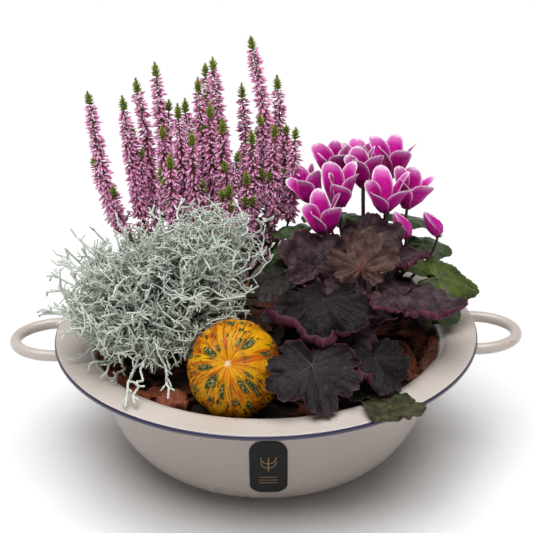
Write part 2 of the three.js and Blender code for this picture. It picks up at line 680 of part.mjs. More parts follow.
// The basin's inner skin, pulled in by the clearance, up to a height.
function fill(from, to, steps) {
  const { sheet, baseRadius } = BASIN;
  const skin = outerOutline(-sheet - CLEARANCE).slice(1).filter(([, z]) => z > from + 1 && z < to - 1);
  const wallAt = (z) => {
    const path = outerOutline(-sheet - CLEARANCE);
    const i = path.findIndex((p) => p[1] >= z);
    const [a, b] = [path[Math.max(i - 1, 0)], path[i]];
    return mix(a[0], b[0], (z - a[1]) / Math.max(b[1] - a[1], 1e-6));
  };
  const low = from > sheet + 1 ? [wallAt(from), from] : [baseRadius - 0.5, from];
  return turned([[0, from], low, ...skin, [wallAt(to), to], [0, to]], steps);
}

const makeSoil = () => fill(BASIN.sheet + CLEARANCE, SOIL_TOP, ROUND_STEPS / 2);

// One rough chip of bark: a box with its corners moved at random.
function chip(random, [length, width, height]) {
  const geometry = new THREE.BoxGeometry(length, width, height);
  const bare = mergeVertices(geometry.deleteAttribute('normal').deleteAttribute('uv'), 1e-4);
  const place = bare.attributes.position;
  const moved = (value, most) => value + (random() - 0.5) * most;
  for (let i = 0; i < place.count; i++)
    place.setXYZ(
      i,
      moved(place.getX(i), length * 0.3),
      moved(place.getY(i), width * 0.45),
      moved(place.getZ(i), height * 0.5),
    );
  return solidOf(bare);
}

const CHIPS = { count: 22, within: 150, room: 14, mostTries: 400 };

// Chips lie only where nothing else stands on the mulch: each place taken is x, y and radius.
const TAKEN = [
  [-103, -50, 52], [-62, -66, 40], [-142, -46, 28], [-27, -113, 50], [66, -60, 36], [100, 50, 38], [-58, 64, 44],
];

function makeMulch(holes) {
  const random = randomFrom(23);
  const parts = [fill(SOIL_TOP + CLEARANCE, MULCH_TOP, ROUND_STEPS)];
  const taken = [...TAKEN, ...CHUNKS.map(({ at, size }) => [at[0], at[1], size[0] / 2])];
  for (let i = 0, laid = 0; laid < CHIPS.count && i < CHIPS.mostTries; i++) {
    const size = [20 + 16 * random(), 9 + 7 * random(), 5 + 4 * random()];
    const r = Math.min(CHIPS.within * Math.sqrt(random()), CHIPS.within - size[0] / 2);
    const a = 2 * Math.PI * random();
    const turn = [random() * 24 - 12, random() * 24 - 12, random() * 360];
    const [x, y] = [r * Math.cos(a), r * Math.sin(a)];
    if (taken.some(([p, q, room]) => Math.hypot(x - p, y - q) < room + CHIPS.room)) continue;
    parts.push(chip(random, size).rotate(turn).translate([x, y, MULCH_TOP + 0.5]));
    laid++;
  }
  return largest(union(parts).subtract(gourdSeat()).subtract(union(holes)));
}

// Larger pieces of bark that lie loose on the mulch: place, size, and turn about X, Y and Z.
const CHUNKS = [
  { at: [-82, -122, 111], size: [27, 20, 19], turn: [10, 5, 20] },
  { at: [138, -47, 111], size: [36, 17, 12], turn: [14, -24, -50] },
  { at: [146, -14, 111], size: [34, 13, 11], turn: [0, 24, 60] },
  { at: [114, -86, 108], size: [22, 14, 10], turn: [5, 8, 40] },
  { at: [-145, 14, 108], size: [34, 14, 10], turn: [-8, 6, 70] },
  { at: [-108, 98, 108], size: [36, 16, 10], turn: [6, -5, 30] },
  { at: [20, 140, 108], size: [34, 15, 10], turn: [4, 8, -10] },
];

function makeChunk({ at, size, turn }, seed) {
  const random = randomFrom(seed);
  const [a, b] = [2 * random(), 3 * random()];
  const rough = solidOf(new THREE.SphereGeometry(0.5, 7, 4)).scale(size).warp((p) => {
    const ridge = 1 + 0.13 * Math.sin(p[0] * 0.9 + a) + 0.1 * Math.sin(p[0] * 1.7 + b);
    p[1] *= ridge;
    p[2] *= 2 - ridge;
  });
  return rough.rotate(turn).translate(at).trimByPlane([0, 0, 1], MULCH_TOP + CLEARANCE);
}

// ---------------------------------------------------------------- assembly

const planter = new THREE.Group();

function add(name, solid, color, roughness = 0.8, metalness = 0) {
  const mesh = new THREE.Mesh(geometryOf(solid), new THREE.MeshStandardMaterial({ color, roughness, metalness }));
  mesh.name = name;
  planter.add(mesh);
}

const ENAMEL = 0xcdbfb6;
const HEUCHERA_COLOURS = { bronze: 0x6b4a3c, over_rim: 0x3e4030, low_front: 0x2f3b28, left: 0x3c423c };

add('basin', makeBasin(), ENAMEL, 0.3);
add('handle_right', makeHandle(1), ENAMEL, 0.3);
add('handle_left', makeHandle(-1), ENAMEL, 0.3);
add('label', makeLabel(), 0x2a2c2e, 0.6);
add('potting_soil', makeSoil(), 0x2a1d15, 0.95);

// Holes through the mulch where plants come up: x, y and radius.
const rootHoles = SPRIGS.map((spikes) => {
  const [x, y] = rootOf(spikes);
  return [x, y, 4 + Math.max(...spikes.map(footOf).map(([p, q]) => Math.hypot(p - x, q - y)))];
});
const holes = [...rootHoles, [...BUSH.root, 10], [67, -60, 26], [...CORM, 30]].map(([x, y, radius]) =>
  column([x, y], radius, radius > 15 ? 14 : 6),
);
add('bark_mulch', makeMulch(holes), 0x5a3524, 0.9);
CHUNKS.forEach((chunk, i) => add(`bark_chunk_${i + 1}`, makeChunk(chunk, 31 + i), 0x6b3b27, 0.9));
add('gourd', makeGourd(), 0xe39a1c, 0.45);
add('cushion_bush', makeBush(), 0xa9b3a6, 0.9);
SPRIGS.forEach((spikes, i) => add(`heather_${i + 1}`, makeSprig(spikes), 0xb86fa3, 0.8));
for (const leaf of HEUCHERA)
  add(`heuchera_${leaf.name}`, makeHeucheraLeaf(leaf), HEUCHERA_COLOURS[leaf.name] ?? 0x3a2430, 0.5);
for (const leaf of CYCLAMEN_LEAVES) add(`cyclamen_leaf_${leaf.name}`, makeCyclamenLeaf(leaf), 0x34502a, 0.5);
for (const bloom of BLOOMS) add(`cyclamen_${bloom.name}`, onStalk(bloomHead(bloom), bloom), 0xc42aa8, 0.6);
for (const bud of BUDS) add(`cyclamen_${bud.name}`, onStalk(budHead(bud), bud), 0xa3208a, 0.6);

export default planter;
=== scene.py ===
"""A mixed autumn planter: an enamelled steel basin with two handles, planted with bud heather, a silver
cushion bush, a purple heuchera and a cyclamen, with an ornamental gourd and bark mulch.

Lengths are millimetres and angles degrees, in the model's own frame: +Z up, -Y the front, +X the right.
piece() turns them into metres. Colours are red, green and blue from 0 to 255, as they are seen.
"""

import math

import bpy
import numpy as np
from mathutils import Matrix, Vector


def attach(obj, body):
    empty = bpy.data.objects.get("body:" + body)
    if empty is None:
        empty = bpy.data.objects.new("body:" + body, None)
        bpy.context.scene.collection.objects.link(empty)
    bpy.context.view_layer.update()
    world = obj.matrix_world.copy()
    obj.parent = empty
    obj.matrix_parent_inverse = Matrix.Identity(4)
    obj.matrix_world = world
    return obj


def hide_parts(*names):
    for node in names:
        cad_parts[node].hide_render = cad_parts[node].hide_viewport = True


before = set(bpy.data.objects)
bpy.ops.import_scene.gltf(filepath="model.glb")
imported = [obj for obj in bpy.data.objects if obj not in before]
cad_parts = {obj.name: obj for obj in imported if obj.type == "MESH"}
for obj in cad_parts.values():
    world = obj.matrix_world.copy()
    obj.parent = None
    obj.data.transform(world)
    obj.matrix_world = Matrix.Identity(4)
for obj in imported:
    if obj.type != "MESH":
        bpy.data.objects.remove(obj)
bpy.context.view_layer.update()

MM = 0.001
UP = np.array([0.0, 0.0, 1.0])

# ---------------------------------------------------------------- driving dimensions

# The last entry gives the heights between which painted shade fades in down the outer wall.
BASIN = dict(
    rim_radius=200, height=124, sheet=2, bead_radius=2.6, base_radius=86, wall_radius=162.5,
    base_run=30, wall_run=105, flange_round=13.5, steps=240, painted_shade_heights=(122, 112),
)
HANDLE = dict(tube_radius=5.4, half_width=34, reach=239.5, straight_to=197, drop=11, start=160.5, flare=1.7)
LABEL = dict(width=33, height=68, corner=13, thickness=0.8, top=96, clearance=0.35)

SOIL_TOP = 88
MULCH_TOP = 103
STALK_FOOT = 88.9

GOURD = dict(
    centre=(-28, -118, 142), radii=(40.5, 41, 43), ribs=10, rib_depth=1.4, scar_pitch=36, scar_turn=-9,
)

# ---------------------------------------------------------------- small tools


def unit(v):
    return v / np.linalg.norm(v, axis=-1, keepdims=True)


def smooth(low, high, value):
    """0 below low, 1 above high, and an even slope between."""
    t = np.clip((value - low) / (high - low), 0, 1)
    return t * t * (3 - 2 * t)


def all_round(count):
    """Angles all round, evenly spaced."""
    return 2 * np.pi * np.arange(count) / count


def stacked(*columns):
    """Points from their columns, each a number or an array."""
    return np.stack(np.broadcast_arrays(*columns), -1)


def round_points(radius, angle, height):
    """Points by their radius, angle and height, each a number or an array."""
    return stacked(radius * np.cos(angle), radius * np.sin(angle), height)


def cross_axes(along):
    """Two axes square to a direction, or to each of many."""
    along = np.asarray(along, float)
    other = np.where(np.abs(along[..., 2:3]) > 0.9, [1.0, 0, 0], UP)
    side = unit(np.cross(other, along))
    return side, np.cross(along, side)


def placed(points, at, *turns):
    """Points turned, then moved to a place. A turn is an axis and degrees, and the last is made first."""
    matrix = Matrix.Identity(3)
    for axis, degrees in turns:
        matrix = matrix @ Matrix.Rotation(math.radians(degrees), 3, axis)
    return points @ np.array(matrix).T + np.array(at, float)


def bent_line(root, end, arrive, steps):
    """Points along a bent stem. It leaves its root plumb, and arrives at its end along a direction."""
    root, end = np.asarray(root, float), np.asarray(end, float)
    reach = np.linalg.norm(end - root)
    t = np.linspace(0, 1, steps + 1)[:, None]
    first, second = root + UP * reach * 0.45, end - np.asarray(arrive) * reach * 0.35
    return (1 - t) ** 3 * root + 3 * (1 - t) ** 2 * t * first + 3 * (1 - t) * t * t * second + t**3 * end


class Shell:
    """Points, faces and marks of one piece while it is built.

    A point's mark is three numbers that the piece's materials read, and a face's skin is the number of
    its material."""

    def __init__(self):
        self.points, self.marks, self.count = [], [], 0
        self.faces, self.skins = {3: [], 4: []}, {3: [], 4: []}

    def add(self, points, faces, marks=(0, 0, 0), skin=0):
        points = np.asarray(points, float).reshape(-1, 3)
        self.points.append(points)
        self.marks.append(np.broadcast_to(np.asarray(marks, float).reshape(-1, 3), points.shape))
        for group in faces:
            corners = group.shape[1]
            self.faces[corners].append(group + self.count)
            self.skins[corners].append(np.full(len(group), skin))
        self.count += len(points)


def linked(name, data):
    """A new object in the scene."""
    made = bpy.data.objects.new(name, data)
    bpy.context.scene.collection.objects.link(made)
    return made


def piece(name, shell, materials, nodes, creased=False):
    """A finished mesh object, which rides on the planter and stands for the CAD nodes it replaces."""
    points = (np.concatenate(shell.points) * MM).astype(np.float32)
    groups = [np.concatenate(shell.faces[n]) for n in (3, 4) if shell.faces[n]]
    skins = np.concatenate([s for n in (3, 4) for s in shell.skins[n]])
    sizes = np.concatenate([np.full(len(g), g.shape[1]) for g in groups])
    mesh = bpy.data.meshes.new(name)
    mesh.vertices.add(len(points))
    mesh.vertices.foreach_set("co", points.ravel())
    mesh.loops.add(int(sizes.sum()))
    mesh.loops.foreach_set("vertex_index", np.concatenate([g.ravel() for g in groups]).astype(np.int32))
    mesh.polygons.add(len(sizes))
    mesh.polygons.foreach_set("loop_start", (np.cumsum(sizes) - sizes).astype(np.int32))
    mesh.polygons.foreach_set("material_index", skins.astype(np.int32))
    mesh.polygons.foreach_set("use_smooth", np.full(len(sizes), not creased))
    mesh.update(calc_edges=True)
    marks = mesh.attributes.new("mark", "FLOAT_VECTOR", "POINT")
    marks.data.foreach_set("vector", np.concatenate(shell.marks).astype(np.float32).ravel())
    for material in materials:
        mesh.materials.append(material)
    made = linked(name, mesh)
    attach(made, "root")
    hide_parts(*nodes)


def grid(rows, columns, wrap=False):
    """The quads of a grid of points, row by row. With wrap, each row closes on itself."""
    i, j = np.meshgrid(np.arange(rows - 1), np.arange(columns if wrap else columns - 1), indexing="ij")
    a = (i * columns + j).ravel()
    b = (i * columns + (j + 1) % columns).ravel()
    return stacked(a, b, b + columns, a + columns)


def fan(centre, first, count):
    """The triangles from one point to a ring of points."""
    j = np.arange(count)
    return stacked(centre, first + j, first + (j + 1) % count)


def edge_of(rows, columns):
    """The points along the edge of a grid, all round, and the one after each."""
    n = rows * columns
    edge = np.concatenate([
        np.arange(columns), np.arange(1, rows) * columns + columns - 1,
        n - 2 - np.arange(columns - 1), np.arange(rows - 2, 0, -1) * columns,
    ])
    return edge, np.roll(edge, -1)


def closed(rings):
    """The points and faces of a row of rings, shut at each end by fans to a middle point."""
    count, sides = rings.shape[:2]
    n = count * sides
    points = np.concatenate([rings.reshape(-1, 3), rings[[0, -1]].mean(1)])
    return points, [grid(count, sides, True), fan(n, 0, sides)[:, [0, 2, 1]], fan(n + 1, n - sides, sides)]


def add_tube(shell, line, radii, sides=6, tone=0.0, out=0.0, skin=0):
    """A closed tube along a line, with rings that turn as little as they can. Its mark is the share of the
    way along, its tone and how far out it is."""
    line = np.asarray(line, float)
    along = unit(np.gradient(line, axis=0))
    u, _ = cross_axes(along[0])
    a = all_round(sides)[:, None]
    rings = []
    for p, ahead, r in zip(line, along, np.broadcast_to(radii, len(line))):
        u = unit(u - ahead * (u @ ahead))
        rings.append(p + r * (np.cos(a) * u + np.sin(a) * np.cross(ahead, u)))
    points, faces = closed(np.array(rings))
    marks = np.full(points.shape, (0, tone, out), float)
    marks[:, 0] = [*np.repeat(np.linspace(0, 1, len(line)), sides), 0, 1]
    shell.add(points, faces, marks, skin)


def spindle(stations, sides):
    """A template along +Z from (place, radius) pairs, ending in a point, with its quads and triangles."""
    rings = [round_points(r, all_round(sides), z) for z, r in stations[:-1]]
    points = np.concatenate([*rings, [(0, 0, stations[-1][0])]])
    top = (len(rings) - 1) * sides
    return points, [grid(len(rings), sides, True), fan(len(points) - 1, top, sides)]


def scatter(shell, template, origins, headings, lengths, tones, places, skin=0, flat=1.0):
    """Copies of a template, each with its foot at an origin, its +Z along a heading and its own length.

    The marks are how far along the copy a point is, the copy's tone, and the copy's place."""
    points, faces = template
    headings = unit(np.asarray(headings, float))
    n, k = len(headings), len(points)
    u, v = cross_axes(headings)
    local = points[None] * np.broadcast_to(lengths, n)[:, None, None]
    copies = np.asarray(origins, float)[:, None]
    for axis, along in enumerate((u, v * flat, headings)):
        copies = copies + local[..., axis:axis + 1] * along[:, None]
    tones, places = (np.broadcast_to(each, n)[:, None] for each in (tones, places))
    marks = stacked(points[:, 2], tones, places)
    offsets = (np.arange(n) * k)[:, None, None]
    shell.add(copies, [(f[None] + offsets).reshape(-1, f.shape[1]) for f in faces], marks, skin)


# ---------------------------------------------------------------- materials


def rgb(red, green, blue):
    """A colour as it is seen, in the linear values that Blender takes."""
    return (*[((c / 255 + 0.055) / 1.055) ** 2.4 if c > 10 else c / 3295 for c in (red, green, blue)], 1)


class Paint:
    """A node material, written as a few calls. Sockets that are the same all over are set by name."""

    def __init__(self, name, **fixed):
        self.material = bpy.data.materials.new(name)
        self.material.use_nodes = True
        self.tree = self.material.node_tree
        self.shader = self.tree.nodes["Principled BSDF"]
        for socket, value in fixed.items():
            self.shader.inputs[socket.replace("_", " ")].default_value = value

    def node(self, kind, inputs, out=0, **settings):
        """Adds a node, with inputs by number or name, and gives back one of its outputs."""
        node = self.tree.nodes.new("ShaderNode" + kind)
        for key, value in settings.items():
            setattr(node, key, value)
        for key, value in inputs.items():
            if isinstance(value, bpy.types.NodeSocket):
                self.tree.links.new(value, node.inputs[key])
            else:
                node.inputs[key].default_value = value
        return node.outputs[out]

    def math(self, operation, a, b=0.0):
        return self.node("Math", {0: a, 1: b}, operation=operation)

    def plus(self, a, b):
        return self.math("ADD", a, b)

    def less(self, a, b):
        return self.math("SUBTRACT", a, b)

    def times(self, a, b):
        return self.math("MULTIPLY", a, b)

    def over(self, a, b):
        return self.math("DIVIDE", a, b)

    def most(self, a, b):
        return self.math("MAXIMUM", a, b)

    def ragged(self, value, noise, amount):
        """A value made uneven by a noise."""
        return self.plus(value, self.times(self.less(noise, 0.5), amount))

    def step(self, value, low, high, start=0.0, end=1.0):
        """Goes smoothly from start at low to end at high."""
        inputs = {0: value, 1: low, 2: high, 3: start, 4: end}
        return self.node("MapRange", inputs, interpolation_type="SMOOTHSTEP", clamp=True)

    def mix(self, share, a, b):
        """From one colour to another. A colour is red, green and blue, or a socket."""
        a, b = (rgb(*c) if isinstance(c, tuple) else c for c in (a, b))
        return self.node("Mix", {0: share, 6: a, 7: b}, 2, data_type="RGBA")

    def tint(self, colour, other, value, *ends):
        """A colour that goes over to another as a value goes from low to high."""
        return self.mix(self.step(value, *ends), colour, other)

    def spot(self, stretch=None):
        """The place on the piece, in metres, stretched along the axes."""
        place = self.node("TexCoord", {}, 3)
        return self.stretched(place, stretch) if stretch else place

    def stretched(self, vector, by):
        return self.node("VectorMath", {0: vector, 1: by}, operation="MULTIPLY")

    def marks(self):
        """The point's mark: its three numbers, and all of it as a vector."""
        mark = self.node("Attribute", {}, 1, attribute_name="mark")
        return (*self.node("SeparateXYZ", {0: mark}).node.outputs, mark)

    def noise(self, vector, scale, detail=3.0, roughness=0.5, distortion=0.0):
        inputs = {"Vector": vector, "Scale": scale, "Detail": detail, "Roughness": roughness}
        return self.node("TexNoise", {**inputs, "Distortion": distortion})

    def cells(self, vector, scale, feature="F1"):
        return self.node("TexVoronoi", {"Vector": vector, "Scale": scale}, feature=feature)

    def net(self, scale, width):
        """A fine net of veins."""
        return self.step(self.cells(self.spot(), scale, "DISTANCE_TO_EDGE"), 0.02, width, 1, 0)

    def finish(self, colour, varies, roughness, height=None, depth=0.0002, across=(0.3, 0.7)):
        """Links the colour, the roughness, which goes from one value to another as something varies, and
        the bump, whose depth is in metres."""
        self.tree.links.new(colour, self.shader.inputs["Base Color"])
        self.tree.links.new(self.step(varies, *across, *roughness), self.shader.inputs["Roughness"])
        if height is not None:
            bump = self.node("Bump", {"Height": height, "Distance": depth, "Strength": 1.0})
            self.tree.links.new(bump, self.shader.inputs["Normal"])
        return self.material


def enamel():
    """Warm greige vitreous enamel with faint specks. The mark is how navy it is, and how far painted shade
    darkens it on the outer wall and the handles."""
    p = Paint("enamel", Coat_Weight=0.5, Coat_Roughness=0.12, Specular_IOR_Level=0.5)
    band, painted_shade, _, _ = p.marks()
    cloud = p.noise(p.spot(), 9, 3)
    base = p.tint((189, 178, 170), (200, 190, 183), cloud, 0.35, 0.7)
    # painted shade: the outer wall and the handles are darkened towards brown-grey, though the enamel is one
    # colour
    base = p.mix(p.times(painted_shade, 0.9), base, (156, 143, 136))
    dots = p.step(p.cells(p.spot(), 150), 0.1, 0.16, 1, 0)
    dots = p.times(dots, p.step(p.noise(p.spot(), 38, 1), 0.6, 0.63))
    colour = p.mix(p.times(dots, 0.7), base, (96, 84, 78))
    colour = p.tint(colour, (32, 26, 62), p.ragged(band, p.noise(p.spot(), 60, 3), 0.35), 0.4, 0.56)
    return p.finish(colour, cloud, (0.26, 0.36), p.noise(p.spot(), 55, 2))


def label_plate():
    p = Paint("label_plate", Specular_IOR_Level=0.2)
    grain = p.noise(p.spot(), 900, 3)
    return p.finish(p.mix(grain, (17, 17, 17), (28, 27, 26)), grain, (0.5, 0.62), grain, 0.00006)


def label_print():
    p = Paint("label_print", Metallic=0.6)
    grain = p.noise(p.spot(), 700, 2)
    return p.finish(p.mix(grain, (140, 112, 78), (170, 138, 98)), grain, (0.4, 0.55))


def soil():
    p = Paint("soil")
    clump = p.noise(p.spot(), 160, 5, 0.65)
    crumb = p.cells(p.spot(), 420)
    colour = p.tint((26, 19, 15), (58, 42, 32), clump, 0.35, 0.7)
    colour = p.tint(colour, (84, 62, 46), crumb, 0.5, 0.8, 0, 0.5)
    return p.finish(colour, clump, (0.8, 0.98), p.plus(clump, p.times(crumb, 0.5)), 0.0015)


def bark(name, dark, light, red):
    """Bark with fibres along its length: the mark is along, across and the piece's tone."""
    p = Paint(name)
    _, _, tone, mark = p.marks()
    fibre = p.noise(p.stretched(mark, (0.12, 1.1, 7.0)), 1.0, 5, 0.6)
    blotch = p.noise(p.spot(), 120, 4, 0.6)
    colour = p.tint(dark, light, fibre, 0.38, 0.66)
    colour = p.tint(colour, red, tone, 0.1, 0.9, 0, 0.75)
    colour = p.tint(colour, dark, blotch, 0.5, 0.72, 0, 0.65)
    return p.finish(colour, blotch, (0.72, 0.92), p.plus(p.times(fibre, 1.4), blotch), 0.0012)


def gourd_skin():
    """Orange rind with yellow rays from the scar, dark green flecks and raised green warts.

    The mark is the direction from the gourd's middle, in its own frame, with the scar along +Z and its
    length grown where a wart stands."""
    p = Paint("gourd_skin", Coat_Weight=0.06, Coat_Roughness=0.3, Specular_IOR_Level=0.14)
    x, y, z, mark = p.marks()
    length = p.node("VectorMath", {0: mark}, 1, operation="LENGTH")
    around = p.math("ARCTAN2", y, x)
    polar = p.math("ARCCOSINE", p.over(z, length))
    ray = {0: p.math("COSINE", around), 1: p.math("SINE", around), 2: p.times(polar, 0.3)}
    ray = p.node("CombineXYZ", ray)
    cloud = p.noise(mark, 3.2, 4, 0.6)
    freckles = p.noise(mark, 11, 4, 0.7)
    colour = p.tint((182, 88, 1), (210, 152, 2), p.noise(ray, 4.6, 4, 0.62, 0.5), 0.4, 0.56)
    colour = p.tint(colour, (192, 80, 2), cloud, 0.52, 0.74, 0, 0.6)
    rust = p.times(p.step(freckles, 0.52, 0.66, 0, 0.55), p.step(polar, 0.7, 1.5))
    colour = p.mix(rust, colour, (128, 62, 8))
    streak = p.noise(ray, 15, 4, 0.65)
    streaks = p.times(p.step(streak, 0.535, 0.58), p.step(p.noise(mark, 2.4, 2), 0.38, 0.5))
    streaks = p.times(streaks, p.step(polar, 0.22, 0.4))
    dots = p.times(p.step(p.cells(mark, 14), 0.2, 0.3, 1, 0), p.step(p.noise(mark, 4.5, 2), 0.46, 0.52))
    dots = p.times(dots, p.step(polar, 0.5, 0.9))
    wart = p.step(p.ragged(length, p.noise(mark, 13, 4, 0.75), 2.0), 1.34, 1.46)
    colour = p.mix(p.most(p.most(streaks, dots), wart), colour, (40, 54, 22))
    pale = p.times(p.step(freckles, 0.5, 0.6, 0, 0.8), p.step(length, 1.4, 1.75))
    colour = p.mix(pale, colour, (172, 164, 98))
    from_scar = p.plus(polar, p.times(p.noise(ray, 9, 2), 0.22))
    colour = p.tint(colour, (228, 206, 166), from_scar, 0.14, 0.19, 1, 0)
    height = p.plus(p.noise(mark, 22, 4, 0.6), p.times(streak, 0.6))
    return p.finish(colour, cloud, (0.34, 0.5), height, 0.0006)


def leaf_top(name, dark, light, vein, side_veins, roughness=0.42, spacing=6.0, rim=None):
    """A leaf's upper face. The mark is the distance from the nearest main vein, the distance along that
    vein, and the share of the way to the edge."""
    p = Paint(name, Coat_Weight=0.03, Coat_Roughness=0.3, Specular_IOR_Level=0.2)
    off, along, share, _ = p.marks()
    cloud = p.noise(p.spot(), 95, 4, 0.6)
    colour = p.tint(dark, light, cloud, 0.36, 0.66)
    main = p.step(p.over(off, p.step(share, 0.0, 1.0, 0.6, 0.15)), 0.5, 1.4, 1, 0)
    main = p.times(main, p.step(share, 0.15, 0.6, 1, 0.16))
    phase = p.over(p.less(along, p.times(off, 1.3)), spacing)
    fine = p.math("ABSOLUTE", p.less(p.math("FRACT", p.plus(phase, 50)), 0.5))
    side = p.times(p.step(fine, 0.02, 0.075, 1, 0), p.step(off, 0.2, 2.2))
    veins = p.most(p.most(main, p.times(side, side_veins)), p.times(p.net(420, 0.12), 0.18))
    colour = p.mix(veins, colour, vein)
    if rim:
        colour = p.tint(colour, rim, share, 0.955, 0.985)
    wrinkle = p.noise(p.spot(), 300, 3, 0.6, 0.6)
    height = p.plus(p.plus(p.times(veins, -0.6), cloud), wrinkle)
    return p.finish(colour, wrinkle, (roughness - 0.06, roughness + 0.12), height, 0.0016)


def leaf_under(name, dark, light, vein):
    """A leaf's lower face, with its veins standing out."""
    p = Paint(name, Specular_IOR_Level=0.25)
    off, _, _, _ = p.marks()
    cloud = p.noise(p.spot(), 130, 3, 0.6)
    veins = p.most(p.times(p.step(off, 0.4, 1.0, 1, 0), 0.8), p.times(p.net(300, 0.14), 0.3))
    colour = p.mix(veins, p.tint(dark, light, cloud, 0.35, 0.68), vein)
    return p.finish(colour, cloud, (0.5, 0.65), veins, 0.0004)


def cyclamen_top(name, dark, light, silver, vein, share_of_silver):
    """A leaf's upper face with a silver-green zone between its middle and its edge."""
    p = Paint(name, Coat_Weight=0.06, Coat_Roughness=0.3, Specular_IOR_Level=0.3)
    off, _, share, _ = p.marks()
    cloud = p.noise(p.spot(), 110, 4, 0.6)
    ragged = p.ragged(share, p.noise(p.spot(), 260, 3), 0.5)
    zone = p.times(p.step(ragged, 0.4, 0.5), p.step(ragged, 0.68, 0.78, 1, 0))
    colour = p.mix(p.times(zone, share_of_silver), p.tint(dark, light, cloud, 0.35, 0.66), silver)
    veins = p.most(p.times(p.step(off, 0.2, 0.8, 1, 0), 0.7), p.times(p.net(330, 0.1), 0.25))
    colour = p.mix(veins, colour, vein)
    return p.finish(colour, cloud, (0.34, 0.5), p.plus(p.times(veins, -1.2), cloud), 0.0004)


def stem_skin(name, dark, light, roughness=0.5):
    """A smooth stalk, streaked along its length."""
    p = Paint(name)
    streak = p.noise(p.spot((1, 1, 0.15)), 500, 3)
    colour = p.tint(dark, light, streak, 0.35, 0.65)
    return p.finish(colour, streak, (roughness, roughness + 0.15), streak)


def petal_skin():
    """Magenta with a white margin. The mark is the distance from the margin, the share of the way up, and
    the petal's tone."""
    p = Paint("petal", Sheen_Weight=0.04, Sheen_Roughness=0.5, Specular_IOR_Level=0.18)
    edge, up, tone, _ = p.marks()
    vein = p.noise(p.spot((1, 1, 0.2)), 700, 3, 0.6)
    colour = p.tint((186, 4, 136), (218, 24, 174), vein, 0.3, 0.7)
    colour = p.tint(colour, (156, 2, 106), tone, 0.0, 1.0, 0, 0.45)
    colour = p.tint(colour, (140, 2, 92), up, 0.0, 0.5, 0.7, 0)
    colour = p.tint(colour, (222, 100, 202), up, 0.6, 1.0, 0, 0.3)
    high = p.step(up, 0.05, 0.8, 0.15, 1)
    pale = p.ragged(p.over(edge, p.step(up, 0.1, 1.0, 0.5, 1.5)), vein, 2.0)
    colour = p.mix(p.times(p.step(pale, 0.3, 3.4, 0.45, 0), high), colour, (240, 164, 224))
    colour = p.mix(p.times(p.step(pale, 0.1, 1.15, 0.95, 0), high), colour, (250, 236, 246))
    return p.finish(colour, vein, (0.42, 0.58), vein)


def floret_skin():
    """Mauve-pink heather buds, green-brown at the foot and pale at the tip."""
    p = Paint("floret", Sheen_Weight=0.15)
    along, tone, place, _ = p.marks()
    colour = p.mix(tone, (206, 74, 152), (247, 156, 215))
    colour = p.tint(colour, (253, 224, 242), along, 0.5, 0.96, 0, 0.75)
    colour = p.tint(colour, (128, 92, 62), along, 0.3, 0.44, 1, 0)
    colour = p.tint(colour, (132, 124, 68), place, -0.2, 0.1, 0.5, 0)
    return p.finish(colour, tone, (0.5, 0.65), across=(0, 1))


def heather_leaf(name, dark, light):
    """Scale leaves, lighter to their tips."""
    p = Paint(name)
    along, tone, _, _ = p.marks()
    colour = p.mix(p.times(p.plus(along, tone), 0.5), dark, light)
    return p.finish(colour, tone, (0.5, 0.7), across=(0, 1))


def silver_stem():
    """White-felted wiry stems, with painted shade: greener and darker towards the middle of the bush.

    The mark is along the stem, its tone, and how far out it is."""
    p = Paint("silver_stem", Sheen_Weight=0.3, Sheen_Roughness=0.6)
    _, tone, out, _ = p.marks()
    felt = p.noise(p.spot(), 900, 3, 0.7)
    colour = p.mix(tone, (172, 183, 168), (231, 236, 226))
    colour = p.tint(colour, (138, 152, 132), felt, 0.4, 0.7, 0, 0.36)
    # painted shade: twigs near the middle of the cushion are darkened
    colour = p.tint(colour, (60, 68, 52), out, 0.4, 0.86, 0.9, 0)
    return p.finish(colour, felt, (0.75, 0.95), felt, 0.0005)


# ---------------------------------------------------------------- basin, handles and label


def wall_point(u):
    """The wall's outer curve from base to flange, as a cubic from u = 0 at the base to 1 at the rim."""
    b, w = BASIN, 1 - u
    radius = w**3 * b["base_radius"] + 3 * w * w * u * (b["base_radius"] + b["base_run"])
    radius += (3 * w * u * u + u**3) * b["wall_radius"]
    return radius, 3 * w * u * u * (b["height"] - b["wall_run"]) + u**3 * b["height"]


BEND_START = 0.948  # where the wall curve gives way to the bend into the flange


def outer_outline(inward):
    """The wall from base to flange, moved in by a distance along its own normal."""
    b = BASIN
    line = stacked(*wall_point(np.linspace(0, BEND_START, 44)))
    slope = unit(np.gradient(line, axis=0))
    line = line + stacked(-slope[:, 1], slope[:, 0]) * inward
    top = b["height"] - b["sheet"]
    bend = np.radians(np.linspace(0, 90, 12)[1:])
    radius = b["flange_round"] + inward
    centre = b["wall_radius"] + b["flange_round"], top - b["flange_round"]
    arc = stacked(centre[0] - radius * np.cos(bend), centre[1] + radius * np.sin(bend))
    return np.concatenate([line, arc])


def wall_radius(z, inward):
    outline = outer_outline(inward)
    return np.interp(z, outline[:, 1], outline[:, 0])


